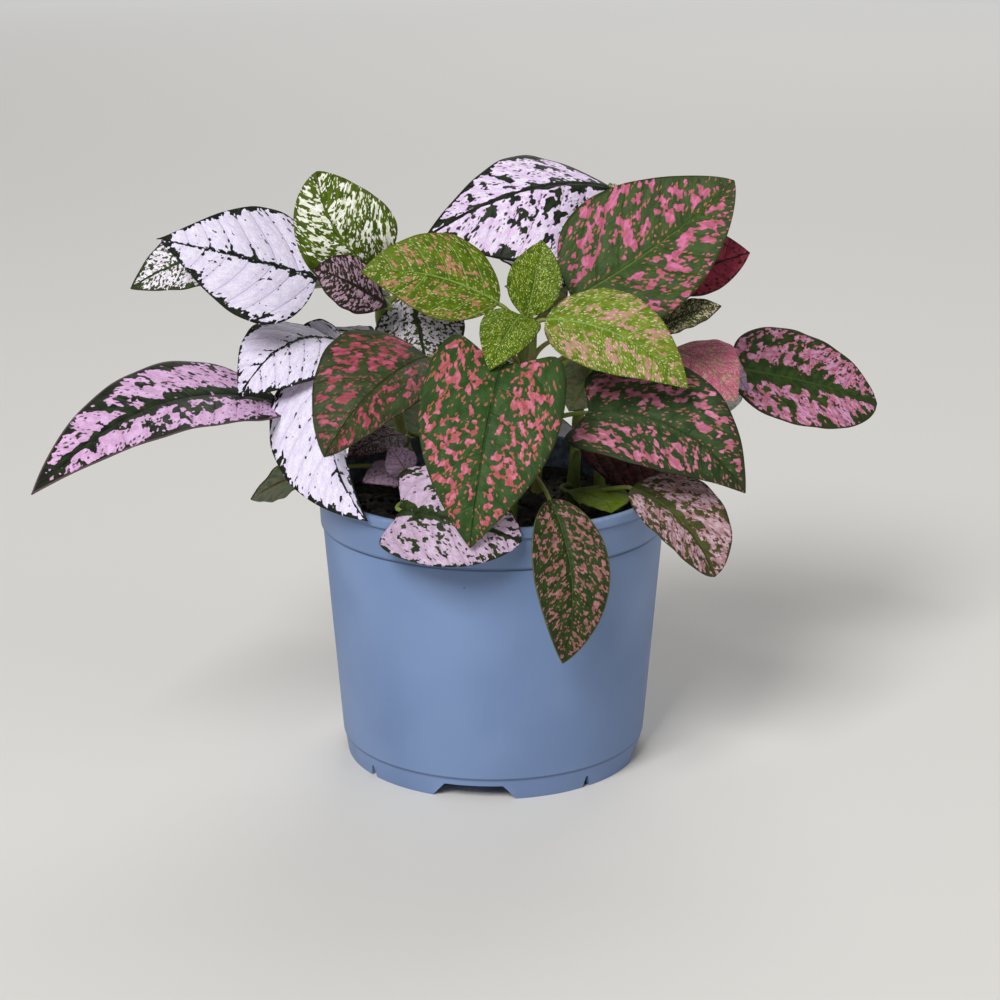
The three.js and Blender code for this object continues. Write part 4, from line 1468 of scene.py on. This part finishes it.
def stalk_line(row, root, leaves_along):
    """From the stem, over to the blade, and on beneath its midrib, with the radius at each."""
    start, along, _, _ = midrib_at(row, 0.0)
    rise = row["lift"] * math.dist(root, start)
    bends = [root, root + leaves_along * rise, start - along * rise, start]
    s = np.linspace(0, 1, STALK_PATH["bend steps"] + 1)[:-1, None]
    free = (1 - s) ** 3 * bends[0] + 3 * s * (1 - s) ** 2 * bends[1]
    free = free + 3 * s**2 * (1 - s) * bends[2] + s**3 * bends[3]
    free_radii = np.linspace(STALK_RADII["root"], STALK_RADII["blade"], STALK_PATH["bend steps"])
    shares = np.linspace(0.0, STALK_PATH["under"], STALK_PATH["ridge steps"])
    ridge, _, _, up = midrib_at(row, shares)
    radii = np.interp(shares, [0, 1], [STALK_RADII["blade"], STALK_RADII["end"]])
    groove = QUILT["groove"] * (1 - shares) ** THINNING * smooth(shares, 0, 0.15)
    sink = radii * STALK_PATH["sunk"] + leaf_size(row) * groove
    ridge = ridge - up * sink[:, None]
    return np.concatenate([free, ridge]), np.concatenate([free_radii, radii])


print("stem length:", round(stem_line(PLANTS["leafy_stem_white_back"])[1], 1), "mm")

# %% [markdown]
# Now the eight seedlings are put together. Each one is a single piece, as its solid is: the stem,
# its stalks and its blades are joined, and the piece stands for the solid of the same plant.

# %% Seedlings
STEM_RADII = {"foot": 2.3, "tip": 1.5, "swelling": 0.3, "swelling length": 2.2, "most": 2.9}
STEP = 0.01


def seedling(node, plant, first_number):
    stem, length = stem_line(plant)
    in_soil = (STEM["clear"] - STEM["root"]) / length
    shares = np.linspace(0, 1, len(stem))
    radii = STEM_RADII["foot"] + (STEM_RADII["tip"] - STEM_RADII["foot"]) * shares
    pieces = []
    for number, row in enumerate(plant["leaves"], first_number):
        up = in_soil + (1 - in_soil) * row["where"]
        apart = (shares - up) * length / STEM_RADII["swelling length"]
        radii = radii + STEM_RADII["swelling"] * np.exp(-(apart**2))
        root, ahead, behind = at_shares([up, min(up + STEP, 1), up - STEP], shares, stem)
        pieces.append(rod("stalk", *stalk_line(row, root, unit(ahead - behind))))
        pieces.append(lay_blade(row, number))
    pieces.insert(0, rod("stem", stem, np.minimum(radii, STEM_RADII["most"])))
    piece = joined(node + "_dressed", pieces)
    settle(piece)
    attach(piece, "root")
    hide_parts(node)
    return piece


number = 1
for node, plant in PLANTS.items():
    piece = seedling(node, plant, number)
    number += len(plant["leaves"])
    print(piece.name + ":", len(plant["leaves"]), "leaves,", len(piece.data.polygons), "faces")
bpy.data.objects.remove(blade_grid)
